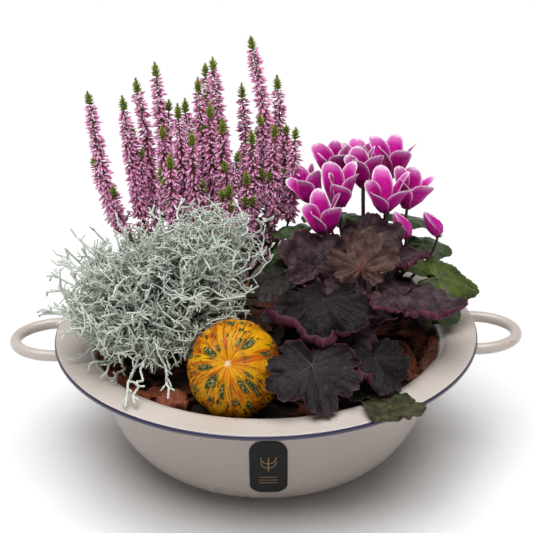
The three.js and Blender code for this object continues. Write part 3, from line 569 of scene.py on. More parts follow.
def make_basin(skin):
    """The basin's sheet, turned all round: its base, wall and flange, the navy bead and the inside."""
    b = BASIN
    top, sheet, bead_radius = b["height"], b["sheet"], b["bead_radius"]
    outside, inside = outer_outline(0), outer_outline(sheet)
    outside = np.concatenate([[[0.01, 0], [40, 0], [70, 0], [82, 0.0]], outside])
    inside = inside[inside[:, 1] > sheet + 0.4][::-1]
    turn = np.linspace(190, 450, 20)
    bead = round_points(bead_radius, np.radians(turn), 0)[:, :2]
    bead += [b["rim_radius"] - bead_radius, top - bead_radius]
    under = [[180, top - sheet], [188, top - sheet + 0.1], [194, top - sheet + 0.1]]
    over = [[r, top] for r in (194, 186, 179)]
    floor = [[r, sheet] for r in (b["base_radius"], 60, 30, 0.01)]
    profile = np.concatenate([outside, under, bead, over, inside, floor])
    marks = np.zeros((len(profile), 3))
    first = len(outside) + len(under)
    marks[first:first + len(bead), 0] = smooth(200, 250, turn) - smooth(396, 450, turn)
    # painted shade on the outer wall, fading in below the flange
    marks[:len(outside), 1] = smooth(*b["painted_shade_heights"], outside[:, 1])
    steps = b["steps"]
    shell = Shell()
    points = round_points(profile[:, :1], all_round(steps), profile[:, 1:])
    shell.add(points, [grid(len(profile), steps, True)], np.repeat(marks, steps, 0))
    piece("enamelled_basin", shell, [skin], ["basin"])


def make_handle(side, name, skin):
    """A steel tube bent to half an oval, flared a little where it is welded to the wall."""
    h = HANDLE
    a = np.linspace(-np.pi / 2, np.pi / 2, 49)
    beyond = h["reach"] - h["straight_to"]
    bow = stacked(h["straight_to"] + beyond * np.cos(a), h["half_width"] * np.sin(a))
    run = np.linspace(h["start"], h["straight_to"], 14)[:-1]
    leg = stacked(run, -h["half_width"])
    line = np.concatenate([leg, bow, leg[::-1] * [1, -1]])
    flare = h["flare"] * np.exp(-np.maximum(line[:, 0] - h["start"] - 2, 0) / 3.0)
    line = stacked(*(side * line).T, BASIN["height"] - h["drop"])
    shell = Shell()
    add_tube(shell, line, h["tube_radius"] + flare, 24)
    # painted shade: a fifth of the outer wall's darkening on the handles
    shell.marks = [np.tile([0.0, 0.2, 0.0], (shell.count, 1))]
    piece(f"{name}_handle", shell, [skin], [f"handle_{name}"])


def label_place(across, down, out):
    """A point on the front wall: across from the middle, down from the label's top, and out from the wall."""
    radius, z = wall_point(np.linspace(0.95, 0.15, 400))
    run = np.concatenate([[0], np.cumsum(np.hypot(np.diff(radius), np.diff(z)))])
    run -= np.interp(-LABEL["top"], -z, run)
    slope = np.arctan2(-np.gradient(radius, run), -np.gradient(z, run))
    r, height, tilt = (np.interp(down, run, line) for line in (radius, z, -slope))
    return round_points(r + out * np.cos(tilt), across / r - np.pi / 2, height + out * np.sin(tilt))


def add_stroke(shell, across, down, width):
    """A flat raised line on the label."""
    line = stacked(across, down).astype(float)
    ahead = unit(np.gradient(line, axis=0))
    side = stacked(-ahead[:, 1], ahead[:, 0]) * width / 2
    level = LABEL["clearance"] + LABEL["thickness"]
    edges = [(line + side * aside, lift) for aside, lift in ((-1, -0.1), (-1, 0.12), (1, 0.12), (1, -0.1))]
    strip = np.stack([label_place(*edge.T, level + lift) for edge, lift in edges], 1)
    ends = np.array([[0, 1, 2, 3], [4 * len(line) - 1 - k for k in range(4)]])
    shell.add(strip, [grid(len(line), 4, True), ends], skin=1)


def make_label(plate, ink):
    """A thin plate with rounded ends, with a plain sprig and three strokes on it."""
    size, shell = LABEL, Shell()
    corner, height, clearance = size["corner"], size["height"], size["clearance"]
    rows, columns = 60, 20
    down = np.linspace(0, height, rows)[:, None]
    into = np.maximum(0, corner - np.minimum(down, height - down))
    half = size["width"] / 2 - corner + np.sqrt(np.maximum(0.05, corner**2 - into**2))
    share = np.linspace(-1, 1, columns)
    rounding = np.minimum(half * (1 - np.abs(share)), np.minimum(down, height - down))
    out = clearance + size["thickness"] * (0.45 + 0.55 * smooth(0, 1.0, rounding))
    sides = [label_place(half * share, down + 0 * share, level) for level in (out, clearance + 0 * out)]
    faces = grid(rows, columns)
    n = rows * columns
    edge, after = edge_of(rows, columns)
    rim = stacked(edge, after, after + n, edge + n)
    shell.add(np.stack(sides), [faces[:, ::-1], faces + n, rim])
    t = np.linspace(0, 1, 12)
    add_stroke(shell, 0, 34 - 16 * t, 0.9)
    for start, side in ((30, -1), (30, 1), (25, -1), (25, 1)):
        add_stroke(shell, side * 6.5 * np.sin(np.pi * t / 2), start - 7 * t + 1.6 * np.sin(np.pi * t), 0.7)
    for down_to in (42, 46, 50):
        add_stroke(shell, -8 + 16 * t, down_to, 0.7)
    piece("label_plate", shell, [plate, ink], ["label"])


# ---------------------------------------------------------------- mulch and bark

# Chips listed one by one where the photograph shows them: place, size, turn and skin.
# A chip of skin 2 takes the lighter bark, which carries painted light.
LAID_CHIPS = [
    ((151, -62, 119), (42, 12, 10), (34, -3, 67), 2),
    ((127, -62, 119), (38, 14, 9), (16, 24, -66), 2),
    ((133, -90, 113), (15, 11, 8), (10, 0, 20), 2),
    ((139, -6, 115), (26, 8, 5), (20, 8, 12), 2),
    ((159, -24, 114), (28, 13, 9), (10, 6, 82), 1),
    ((157, -2, 113), (24, 12, 7), (0, 4, 40), 0),
    ((151, -36, 109), (24, 8, 6), (10, 0, 62), 0),
    ((-97, -108, 110), (20, 12, 8), (14, 6, -30), 1),
    ((-146, -52, 115), (34, 15, 10), (-24, 2, -66), 2),
    ((-132, -82, 114), (30, 13, 9), (-20, 4, -48), 1),
    ((-136, -60, 110), (26, 12, 7), (10, 0, -20), 0),
    ((-112, -108, 112), (24, 11, 8), (-14, 0, -36), 1),
]

# The larger loose pieces: place, size and turn.
CHUNKS = [
    ((-82, -122, 111), (27, 20, 19), (10, 5, 20)),
    ((138, -47, 111), (36, 17, 12), (14, -24, -50)),
    ((146, -14, 111), (34, 13, 11), (0, 24, 60)),
    ((114, -86, 108), (22, 14, 10), (5, 8, 40)),
    ((-145, 14, 108), (34, 14, 10), (-8, 6, 70)),
    ((-108, 98, 108), (36, 16, 10), (6, -5, 30)),
    ((20, 140, 108), (34, 15, 10), (4, 8, -10)),
]

LOOSE_CHIPS = 460
RED_SHARE = 0.45  # of the loose chips
GOURD_BED = 33  # the radius round the gourd's middle where no chip lies
# Under the heuchera few chips lie, so that the bare dark soil shows there as painted shade.
SHADED = dict(centre=(82, -66), radius=54, bare=0.85)  # under the heuchera, where few chips lie


def pulled_in(points, limit):
    """The points, moved in to a distance from the middle axis where they lie beyond it."""
    inward = np.minimum(1, limit / np.maximum(np.hypot(points[:, 0], points[:, 1]), 1))
    return points * stacked(inward, inward, 1)


def add_flake(shell, random, at, size, turn, skin, rings=9, around=10, rough=0.2):
    """A torn flake of bark: a flattened bar with split ends and ridges along its length."""
    length, width, height = size
    t = np.linspace(-1, 1, rings)[:, None]
    a = all_round(around)
    ridge = 1 + rough * random.normal(size=around)
    wander = np.cumsum(random.normal(size=rings))[:, None] * 0.05 * width
    squared = 1 / np.maximum(np.abs(np.cos(a)), np.abs(np.sin(a))) ** 0.75
    taper = 1 - 0.45 * np.abs(t) ** (2 + 3 * random.random())
    body = squared * ridge * (1 + 0.1 * random.normal(size=(rings, around))) * taper
    ends = np.clip(np.abs(t) - 0.7, 0, 1) * random.normal(size=(1, around)) * length * 0.3
    along = t * length / 2 + np.sign(t) * ends * 0.5
    across = body * np.cos(a) * width / 2 + wander
    up = body * np.sin(a) * height / 2 + 0.05 * length * random.normal() * t**2
    local, faces = closed(stacked(along, across, up))
    marks = local.copy()
    marks[:, 2] = random.random()
    shell.add(placed(local, at, ("Z", turn[2]), ("Y", turn[1]), ("X", turn[0])), faces, marks, skin)


def make_mulch(surface, bark_skins):
    """The mulch's uneven surface, and the bark chips that lie all over it."""
    random = np.random.default_rng(23)
    rings, steps = 70, 220
    edge = wall_radius(MULCH_TOP, BASIN["sheet"]) - 0.5
    a = all_round(steps)
    radius = edge * np.linspace(0.001, 1, rings)[:, None]
    x, y = radius * np.cos(a), radius * np.sin(a)
    top = MULCH_TOP - 2 + 0 * x
    for scale, depth in ((0.05, 0.9), (0.13, 0.8), (0.31, 0.7), (0.8, 0.5)):
        way, phase = 2 * np.pi * random.random(2), 6 * random.random(2)
        for side, turn, start in zip((1, -1), way, phase):
            top += depth * np.sin(scale * (x * math.cos(turn) + side * y * math.sin(turn)) + start)
    low = SOIL_TOP + 0.4
    rows = [round_points(r, a, low) for r in (wall_radius(low, BASIN["sheet"]) - 0.6, 0.1)]
    shell = Shell()
    shell.add(np.stack([*stacked(x, y, top), *rows]), [grid(rings + 2, steps, True)[:, ::-1]])
    piece("mulch_bed", shell, [surface], ["bark_mulch"])

    chips = Shell()
    gourd_x, gourd_y, _ = GOURD["centre"]
    shade_x, shade_y = SHADED["centre"]
    laid = 0
    while laid < LOOSE_CHIPS:
        r, a = (edge - 4) * math.sqrt(random.random()), 2 * np.pi * random.random()
        x, y = r * math.cos(a), r * math.sin(a)
        long = 9 + 19 * random.random() ** 1.5
        size = (long, long * (0.25 + 0.3 * random.random()), 1.6 + 2.4 * random.random())
        reach = min(long / 2, edge - 1 - r)
        in_shade = math.hypot(x - shade_x, (y - shade_y) * 0.8) < SHADED["radius"]
        in_shade = in_shade and random.random() < SHADED["bare"]
        if math.hypot(x - gourd_x, y - gourd_y) < GOURD_BED + long / 2 or reach < 3 or in_shade:
            continue
        size = (2 * reach, size[1], size[2]) if reach < long / 2 else size
        tilt = (40 * (random.random() - 0.5), 34 * (random.random() - 0.5), 360 * random.random())
        lift = MULCH_TOP - 0.5 + 2.5 * random.random() + 0.075 * abs(tilt[1])
        add_flake(chips, random, (x, y, lift), size, tilt, int(random.random() < RED_SHARE))
        laid += 1
    for chip in LAID_CHIPS:
        add_flake(chips, random, *chip, 17, 20, 0.12)
    chips.points = [pulled_in(p, wall_radius(p[:, 2], BASIN["sheet"]) - 0.4) for p in chips.points]
    piece("bark_chips", chips, bark_skins, ["bark_mulch"], creased=True)


def make_chunks(skin):
    for number, (at, size, turn) in enumerate(CHUNKS, 1):
        shell = Shell()
        add_flake(shell, np.random.default_rng(60 + number), at, size, turn, 0, 26, 30, 0.09)
        piece(f"bark_piece_{number}", shell, [skin], [f"bark_chunk_{number}"])


# ---------------------------------------------------------------- gourd

# Raised green warts: angle round the scar (0 to the right, 90 up), angle from the scar, length along the
# ray and width.
WARTS = [
    (152, 27, 15, 6.5), (192, 30, 15, 5), (131, 22, 7, 3), (46, 34, 15, 6), (66, 28, 9, 3), (96, 58, 8, 7),
    (79, 60, 5, 4), (228, 30, 17, 7), (262, 34, 14, 4), (243, 50, 6, 4), (308, 34, 15, 4.5), (322, 42, 20, 5),
    (336, 30, 10, 3), (212, 58, 8, 6), (284, 48, 8, 4), (300, 62, 12, 5), (170, 62, 12, 5), (140, 62, 7, 4),
    (20, 52, 9, 4), (0, 80, 14, 6), (60, 92, 16, 7), (120, 100, 14, 6), (180, 105, 14, 6), (250, 96, 14, 6),
    (315, 100, 16, 6), (30, 125, 12, 6), (95, 130, 12, 6), (150, 132, 12, 6), (215, 128, 12, 6),
    (280, 130, 12, 6),
]


def make_gourd(skin):
    """A ribbed and dimpled ball with warts, modelled with its scar along +Z and then laid on its side."""
    g = GOURD
    across, along, tall = g["radii"]
    around, down = 320, 160
    polar = np.linspace(0.004, np.pi - 0.004, down)[:, None]
    a = all_round(around)
    dimple = 1 - 0.1 * np.exp(-((polar / 0.3) ** 2)) - 0.16 * np.exp(-(((np.pi - polar) / 0.35) ** 2))
    rib = g["rib_depth"] * np.sin(polar) * (np.abs(np.cos(g["ribs"] / 2 * a)) ** 0.8 - 0.6)
    wart = np.zeros((down, around))
    for spot, from_scar, length, width in WARTS:
        turn = (a - math.radians(spot) + np.pi) % (2 * np.pi) - np.pi
        beside = turn * np.sin(polar) * across + 0.6 * np.sin(6 * polar + spot)
        beyond = (polar - math.radians(from_scar)) * across
        wart = np.maximum(wart, smooth(1.25, 0.75, np.hypot(beside / (width / 2), beyond / (length / 2))))
    phases = 6 * np.random.default_rng(4).random((5, 2))
    bumps = sum(
        0.12 * np.sin(k * a + start) * np.sin(0.8 * k * polar + end)
        for k, (start, end) in zip((7, 13, 19, 29, 41), phases)
    )
    size = dimple + (rib + bumps * np.sin(polar) + wart * 0.9) / across
    way = round_points(np.sin(polar), a, np.cos(polar))
    local = way * size[..., None] * [across, tall, along]
    points = placed(local, g["centre"], ("Z", g["scar_turn"]), ("X", 90 - g["scar_pitch"]))
    shell = Shell()
    shell.add(points, [grid(down, around, True)[:, ::-1]], way * (1 + 0.8 * wart[..., None]))
    piece("ornamental_gourd", shell, [skin], ["gourd"])


# ---------------------------------------------------------------- leaves


def curled(top, shares, a, curls, start):
    """Rolls stretches of a blade's edge up over its face. Each is an angle, a half width and the degrees
    that it rolls."""
    first = int(np.searchsorted(shares[:, 0], start)) - 1
    bend = np.zeros_like(a)
    for middle, half, degrees in curls:
        off = (a - math.radians(middle) + np.pi) % (2 * np.pi) - np.pi
        bend = np.maximum(bend, math.radians(degrees) * smooth(1, 0.4, np.abs(off) / math.radians(half)))

    def even(values):
        """Averages over a stretch of the edge, so that a roll isn't broken up by the teeth."""
        return sum(np.roll(values, k, 0) for k in range(-14, 15)) / 29

    across = unit(even(np.roll(top[first], -1, 0) - np.roll(top[first], 1, 0)))
    ahead = unit(even(top[first] - top[first - 1]))
    ahead = unit(ahead - across * np.sum(ahead * across, 1, keepdims=True))
    out = np.cross(ahead, across)
    held = np.clip(bend, 0, 1)
    rolled = top.copy()
    last = len(top) - 1
    for row in range(first, last):
        step = top[row + 1] - top[row]
        parts = [np.sum(step * way, 1) for way in (ahead, out, across)]
        along, up, side = (part + (even(part) - part) * held for part in parts)
        angle = bend * (row + 1 - first) / (last - first)
        c, s = np.cos(angle), np.sin(angle)
        turned = ((ahead, along * c - up * s), (out, along * s + up * c), (across, side))
        rolled[row + 1] = rolled[row] + sum(way * part[:, None] for way, part in turned)
    return rolled


def leaf_axes(azimuth, pitch, roll=0, **_):
    """A leaf's axes: ahead along the main lobe, to the left, and out of its face."""
    turn, rise, tilt = (math.radians(each) for each in (azimuth, pitch, roll))
    ahead = np.array([math.cos(rise) * math.cos(turn), math.cos(rise) * math.sin(turn), math.sin(rise)])
    face = unit(UP - ahead * ahead[2])
    face = face * math.cos(tilt) + np.cross(ahead, face) * math.sin(tilt)
    return np.stack([ahead, np.cross(face, ahead), face])


BLADE_THICKNESS = 0.8


def add_blade(shell, leaf, shape, around, rings):
    """A thin closed blade. The shape is its reach at an angle, its height at a share of that reach, its
    number of lobes, and the angle in which its veins are evenly spaced."""
    outline, lift, lobes, spread = shape
    a = all_round(around)
    shares = np.linspace(0, 1, rings + 1)[1:, None] ** 0.85
    reach = outline(a) * shares
    top = round_points(reach, a, lift(shares, a, reach))
    top = curled(top, shares, a, leaf.get("curls", ()), leaf.get("curl_from", 0.8))
    normal = unit(np.cross(np.gradient(top, axis=0), np.roll(top, -1, 1) - np.roll(top, 1, 1)))
    under = top - normal * BLADE_THICKNESS * (1 - 0.55 * shares[..., None] ** 6)
    n = around * rings + 1
    vein = (spread(a) + np.pi / lobes) % (2 * np.pi / lobes) - np.pi / lobes
    marks = stacked(reach * np.abs(np.sin(vein)), reach * np.cos(vein), shares)
    marks = np.concatenate([[[0, 0, 0]], marks.reshape(-1, 3)])
    middle = np.array([[0, 0, float(lift(0.0, 0.0, 0.0))]])
    faces = [fan(0, 1, around), grid(rings, around, True)[:, ::-1] + 1]
    edge = 1 + (rings - 1) * around + np.arange(around)
    after = np.roll(edge, -1)
    rim = stacked(edge - n, edge, after, after - n)
    skins = ((0, top, 0, faces), (1, under, BLADE_THICKNESS, [f[:, ::-1] for f in faces] + [rim]))
    for skin, points, depth, sheet in skins:
        points = np.concatenate([middle - [0, 0, depth], points.reshape(-1, 3)])
        shell.add(points @ leaf_axes(**leaf) + np.array(leaf["at"], float), sheet, marks, skin)


def add_leaf(shell, leaf, shape, around, rings, stalk_radius, stalk_sides):
    """A blade, and the stalk from the mulch to its underside."""
    add_blade(shell, leaf, shape, around, rings)
    ahead, _, face = leaf_axes(**leaf)
    arrive = unit(ahead + face * 0.1 if leaf.get("level") else ahead * 0.6 + face * 0.8)
    line = bent_line((*leaf["root"], STALK_FOOT), np.array(leaf["at"]) - 0.5 * face, arrive, 22)
    swell = np.interp(np.linspace(0, 1, 23), [0, 0.25, 0.5, 0.9, 1], [1.3, 1.15, 1.05, 0.95, 0.5])
    add_tube(shell, line, swell * stalk_radius, stalk_sides, skin=2)


def leaf(name, at, azimuth, pitch, size, root, **rest):
    """A leaf: its stalk's end, where its main lobe points, its size, its root and how it is shaped."""
    return dict(name=name, at=at, azimuth=azimuth, pitch=pitch, size=size, root=root, **rest)


# The middle, low_right and low_left leaves take the darker slate kind, which is painted shade.
HEUCHERA = [
    leaf("front", (38, -142, 158), -80, -37, 46, (56, -76), kind="slate", wave=0.05, droop=0.02, lobes=7,
         cut=0.2, teeth=0.09, curls=[(110, 30, 70), (-64, 26, 60)]),
    leaf("middle", (50, -88, 193), -105, -22, 52, (60, -64), kind="painted_shade_slate", wave=0.07, droop=0.2, lobes=7,
         hang=0.3, curls=[(-8, 95, 185), (150, 25, 90)], curl_from=0.72),
    leaf("upper_left", (46, -38, 201), 112, 50, 38, (56, -50), droop=-0.05, back=0.45,
         curls=[(170, 60, 140), (-20, 40, 90)]),
    leaf("bronze", (86, -48, 204), 78, 38, 38, (72, -54), kind="bronze", wave=0.07, droop=-0.05, back=0.5,
         lobes=5, cut=0.36, cut_width=0.11, point=0.07, teeth=0.15, pleats=0.08),
    leaf("back", (94, -14, 213), 70, 28, 34, (76, -42), droop=0, back=0.5, curls=[(60, 40, 120)]),
    leaf("right", (129, -60, 181), -10, -10, 49, (82, -56), droop=0.12, back=0.5, lobes=7,
         curls=[(-62, 75, 165)]),
    leaf("low_right", (93, -123, 153), -70, -38, 35, (76, -72), kind="painted_shade_slate", droop=0.08, teeth=0.08,
         curls=[(-72, 66, 175)], curl_from=0.66),
    leaf("over_rim", (104, -157, 128.8), -80, -3, 29, (80, -70), kind="olive", wave=0.02, droop=0.05,
         level=True, cut=0.1, teeth=0.03),
    leaf("left", (8, -34, 188), 205, -24, 28, (50, -54), kind="olive_grey", wave=0.05),
    leaf("purple", (124, -20, 201), -6, 12, 28, (84, -50), curls=[(-90, 90, 170)]),
    leaf("centre", (104, -90, 194), -62, -20, 22, (65, -67), wave=0.07, curls=[(-60, 100, 185)]),
    leaf("low_left", (14, -76, 170), 180, 10, 18, (50, -66), kind="painted_shade_slate"),
    leaf("low_front", (76, -130, 126), -95, -2, 20, (67, -78), kind="green", wave=0.02, droop=0, level=True),
]

CYCLAMEN = [
    leaf("far_right", (163, 4, 170), -8, -14, 36, (125, 45), roll=22, kind="bright", tip=0.16),
    leaf("low_right", (158, -12, 150), -25, -20, 27, (119, 34), roll=28),
    leaf("right", (156, 61, 178), 14, -8, 30, (125, 55), roll=10),
    leaf("back_right", (142, 88, 196), 40, -12, 34, (118, 67)),
    leaf("back", (94, 116, 184), 88, -12, 36, (100, 75)),
    leaf("behind", (62, 106, 194), 118, -8, 32, (85, 71)),
    leaf("left", (24, 22, 188), 185, -22, 30, (76, 40)),
    leaf("back_left", (46, 70, 178), 168, -14, 32, (76, 60)),
]

# Small leaves low in a clump, each in the piece of a leaf beside it: place, azimuth, pitch and size.
INNER_HEUCHERA = {
    "centre": [((74, -100, 168), -80, -34, 25), ((96, -72, 176), -20, -22, 24),
               ((84, -88, 150), -60, -30, 24)],
    "low_left": [((30, -92, 154), -125, -34, 24), ((22, -56, 168), 165, -26, 24)],
    "left": [((44, -20, 186), 120, 4, 24), ((26, -14, 172), 150, -20, 26), ((30, -16, 206), 150, 34, 20)],
    "low_front": [((74, -106, 140), -85, -38, 22), ((96, -104, 132), -50, -34, 22)],
    "purple": [((112, -34, 184), 10, -12, 26), ((106, -48, 164), 0, -18, 26)],
    "back": [((68, -14, 194), 100, 16, 26), ((70, -58, 190), -100, -14, 24)],
}
INNER_CYCLAMEN = {
    "far_right": [((132, 20, 184), -30, -16, 28), ((146, 34, 172), 0, -20, 28)],
    "low_right": [((138, 4, 160), -20, -24, 27), ((120, 2, 196), -70, -8, 24)],
    "back": [((112, 60, 200), 30, -6, 28), ((80, 84, 200), 110, -8, 28)],
    "left": [((54, 32, 198), 170, -12, 26), ((64, 10, 206), -120, -4, 24), ((33, 18, 215), 180, -4, 25),
             ((28, 10, 202), 188, -12, 25)],
    "back_right": [((120, 96, 186), 60, -18, 28), ((140, 70, 172), 20, -24, 28)],
}

# Each kind's dark and light colour, its veins' colour, how strong its side veins are, and where it differs
# its roughness, the spacing of its side veins in millimetres and the colour of its rim.
HEUCHERA_LOOKS = dict(
    slate=((16, 9, 12), (38, 27, 33), (68, 58, 60), 0.1, 0.42, 6.0, (74, 42, 54)),
    # painted shade: a darker copy of slate, for the middle and low leaves deep in the clump
    painted_shade_slate=((8, 4, 5), (23, 14, 16), (38, 25, 27), 0.1, 0.42, 6.0, (66, 34, 44)),
    mauve=((38, 21, 26), (80, 60, 64), (52, 28, 35), 0.3, 0.42, 6.0, (92, 48, 62)),
    bronze=((54, 36, 35), (96, 75, 70), (112, 58, 32), 0.5, 0.55, 4.0),
    olive=((40, 41, 26), (76, 76, 50), (60, 52, 40), 0.3),
    olive_grey=((36, 34, 31), (68, 65, 60), (52, 47, 45), 0.4),
    green=((26, 36, 18), (46, 58, 30), (60, 66, 44), 0.4, 0.35, 6.0, (120, 62, 84)),
)

# Each kind's dark and light green, its silver, its veins' colour, and how strong the silver is.
CYCLAMEN_LOOKS = dict(
    dark=((16, 30, 10), (46, 66, 20), (78, 100, 70), (84, 104, 62), 0.5),
    bright=((26, 38, 5), (70, 85, 16), (78, 94, 32), (96, 110, 42), 0.3),
)


def heuchera_shape(size, azimuth, back=0.6, wave=0.06, droop=0.1, lobes=6, cut=0.15, cut_width=0.075,
                   point=0.045, teeth=0.06, hang=0, pleats=0, **_):
    """Rounded lobes with small scallops, ruffled, with a notch where the stalk comes in."""
    phase = azimuth + size

    def spread(a):
        """The angle as the lobes count it: they are of uneven width."""
        return a + 0.11 * np.sin(2 * a + phase) + 0.07 * np.sin(3 * a + 1.7 * phase)

    def outline(a):
        from_notch = np.pi - np.abs(np.where(a > np.pi, a - 2 * np.pi, a))
        b = spread(a)
        notch = 1 - 0.6 * np.exp(-((from_notch / 0.3) ** 2))
        body = (1 + back) / 2 + (1 - back) / 2 * np.cos(a)
        sinus = (b * lobes / (2 * np.pi) - 0.5) % 1
        sinus = np.minimum(sinus, 1 - sinus) * 2 * np.pi / lobes
        lobe = (1 - point + point * np.cos(lobes * b)) * (1 - cut * np.exp(-((sinus / cut_width) ** 2)))
        scallop = 0.995 - teeth + teeth * np.abs(np.cos(lobes * 2 * b)) ** 0.6
        scallop = scallop + 0.03 * np.abs(np.cos(lobes * 5 * b))
        uneven = 1 + 0.05 * np.sin(2 * a + phase) + 0.045 * np.sin(5 * a + 2 * phase)
        return size * notch * body * (1 + 0.14 * np.abs(np.sin(a))) * lobe * scallop * uneven

    def lift(share, a, reach):
        vein = np.abs(np.sin(lobes / 2 * spread(a))) ** 1.2
        pucker = 0.75 * smooth(0.08, 0.5, share) * vein + 0.4 * np.sin(a * lobes * 2 + 14 * share) * share**2
        x, y = reach * np.cos(a), reach * np.sin(a)
        pucker = pucker + 0.8 * np.sin(x / 2.9 + phase) * np.sin(y / 2.6) * share
        ruffle = 0.034 * share**4 * np.sin(3 * lobes * a + phase)
        crumple = share**1.6 * (0.075 * np.sin(3 * a + phase) + 0.06 * np.sin(5 * a + 2.3 * phase))
        fall = share**2 * (wave * np.sin(6 * a + 0.6) - droop - hang * np.maximum(np.cos(a), 0))
        pleat = pleats * share * (np.abs(np.sin(1.5 * lobes * a)) - 0.5)
        return size * (ruffle + crumple + fall + pleat) + 0.05 * reach * np.cos(a) + pucker

    return outline, lift, lobes, spread


def cyclamen_shape(size, tip=0.04, **_):
    """A heart with fine teeth, whose edge turns down a little."""

    def outline(a):
        half = np.abs(np.where(a > np.pi, a - 2 * np.pi, a))
        notch = 1 - 0.66 * np.exp(-(((np.pi - half) / 0.28) ** 2))
        body = 0.74 + 0.2 * np.cos(half) + 0.06 * np.cos(3 * half)
        point = 1 + tip * (np.exp(-((half / 0.3) ** 2)) - 0.6 * np.exp(-(((half - 0.75) / 0.4) ** 2)))
        return size * notch * body * point * (0.975 + 0.035 * np.abs(np.cos(17 * a)) ** 0.6)

    def lift(share, a, reach):
        pucker = 0.8 * smooth(0.1, 0.5, share) * np.abs(np.sin(2.5 * a)) ** 1.3
        wave = 0.035 * size * share**2 * np.sin(7 * a + 1)
        return -0.18 * size * share**2 + 0.1 * reach * np.abs(np.sin(a)) + wave + pucker

    return outline, lift, 5, lambda a: a


def make_heuchera():
    tops = {kind: leaf_top(f"heuchera_{kind}", *look) for kind, look in HEUCHERA_LOOKS.items()}
    under = leaf_under("heuchera_under", (50, 13, 30), (82, 30, 50), (104, 56, 74))
    stalk = stem_skin("heuchera_stalk", (70, 24, 38), (104, 48, 58))
    for outer in HEUCHERA:
        name, shell = outer["name"], Shell()
        shape = heuchera_shape(**outer)
        add_leaf(shell, outer, shape, shape[2] * 36, 26, 1.7, 10)
        for at, azimuth, pitch, size in INNER_HEUCHERA.get(name, ()):
            inner = leaf("", at, azimuth, pitch, size, outer["root"], wave=0.08, curls=[(azimuth, 70, 90)])
            add_leaf(shell, inner, heuchera_shape(**inner), 6 * 24, 18, 1.5, 8)
        skins = [tops[outer.get("kind", "mauve")], under, stalk]
        piece(f"heuchera_leaf_{name}", shell, skins, [f"heuchera_{name}"])


def make_cyclamen_leaves():
    tops = {kind: cyclamen_top(f"cyclamen_{kind}", *look) for kind, look in CYCLAMEN_LOOKS.items()}
    under = leaf_under("cyclamen_under", (78, 70, 46), (104, 100, 62), (130, 110, 88))
    stalk = stem_skin("cyclamen_stalk", (58, 30, 32), (92, 58, 50))
    for outer in CYCLAMEN:
        name, shell = outer["name"], Shell()
        add_leaf(shell, outer, cyclamen_shape(**outer), 272, 26, 1.5, 10)
        for place in INNER_CYCLAMEN.get(name, ()):
            inner = leaf("", *place, outer["root"])
            add_leaf(shell, inner, cyclamen_shape(**inner), 170, 18, 1.4, 8)
        skins = [tops[outer.get("kind", "dark")], under, stalk]
        piece(f"cyclamen_blade_{name}", shell, skins, [f"cyclamen_leaf_{name}"])


# ---------------------------------------------------------------- cyclamen blooms

CORM = (100, 50)
STALK_SPREAD = 0.24  # how far from the corm a stalk stands at its foot, as a share of its head's distance

# Each bloom's place, size, tilt, how far its petals lean out, and its turn. A bud has the first three.
BLOOMS = [
    ((45, 40, 238), 31, (-16, 4), 0.3, 20),
    ((71, 76, 246), 34, (-8, 0), 0.22, 50),
    ((96, 58, 246), 34, (-4, 2), 0.34, 10),
    ((113, 18, 236), 32, (0, 8), 0.56, 4),
    ((70, 24, 240), 35, (4, 6), 0.36, 30),
    ((56, 0, 222), 33, (-8, 10), 0.36, 0),
    ((124, 74, 250), 34, (4, -2), 0.3, 60),
    ((136, 40, 231), 34, (12, 2), 0.4, 70),
    ((98, 98, 244), 32, (2, -10), 0.3, 15),
]
BUDS = [
    ((132, 4, 215), 28, (-28, 10)),
    ((166, 36, 203), 27, (-34, 8)),
]

# The rounded mouth that looks down, ring by ring: its height, its width and its mark for the way up.
MOUTH = [
    (6.5, 0.66, 0.3), (5, 0.8, 0.25), (2.5, 0.98, 0.15), (-0.5, 1.06, 0.05), (-3, 0.98, 0),
    (-4.6, 0.8, 0), (-5.2, 0.62, 0), (-4.6, 0.5, 0), (-2, 0.42, 0), (2, 0.36, 0), (3, 0.02, 0),
]


def tilted(points, at, tilt):
    return placed(points, at, ("Y", tilt[0]), ("X", tilt[1]))


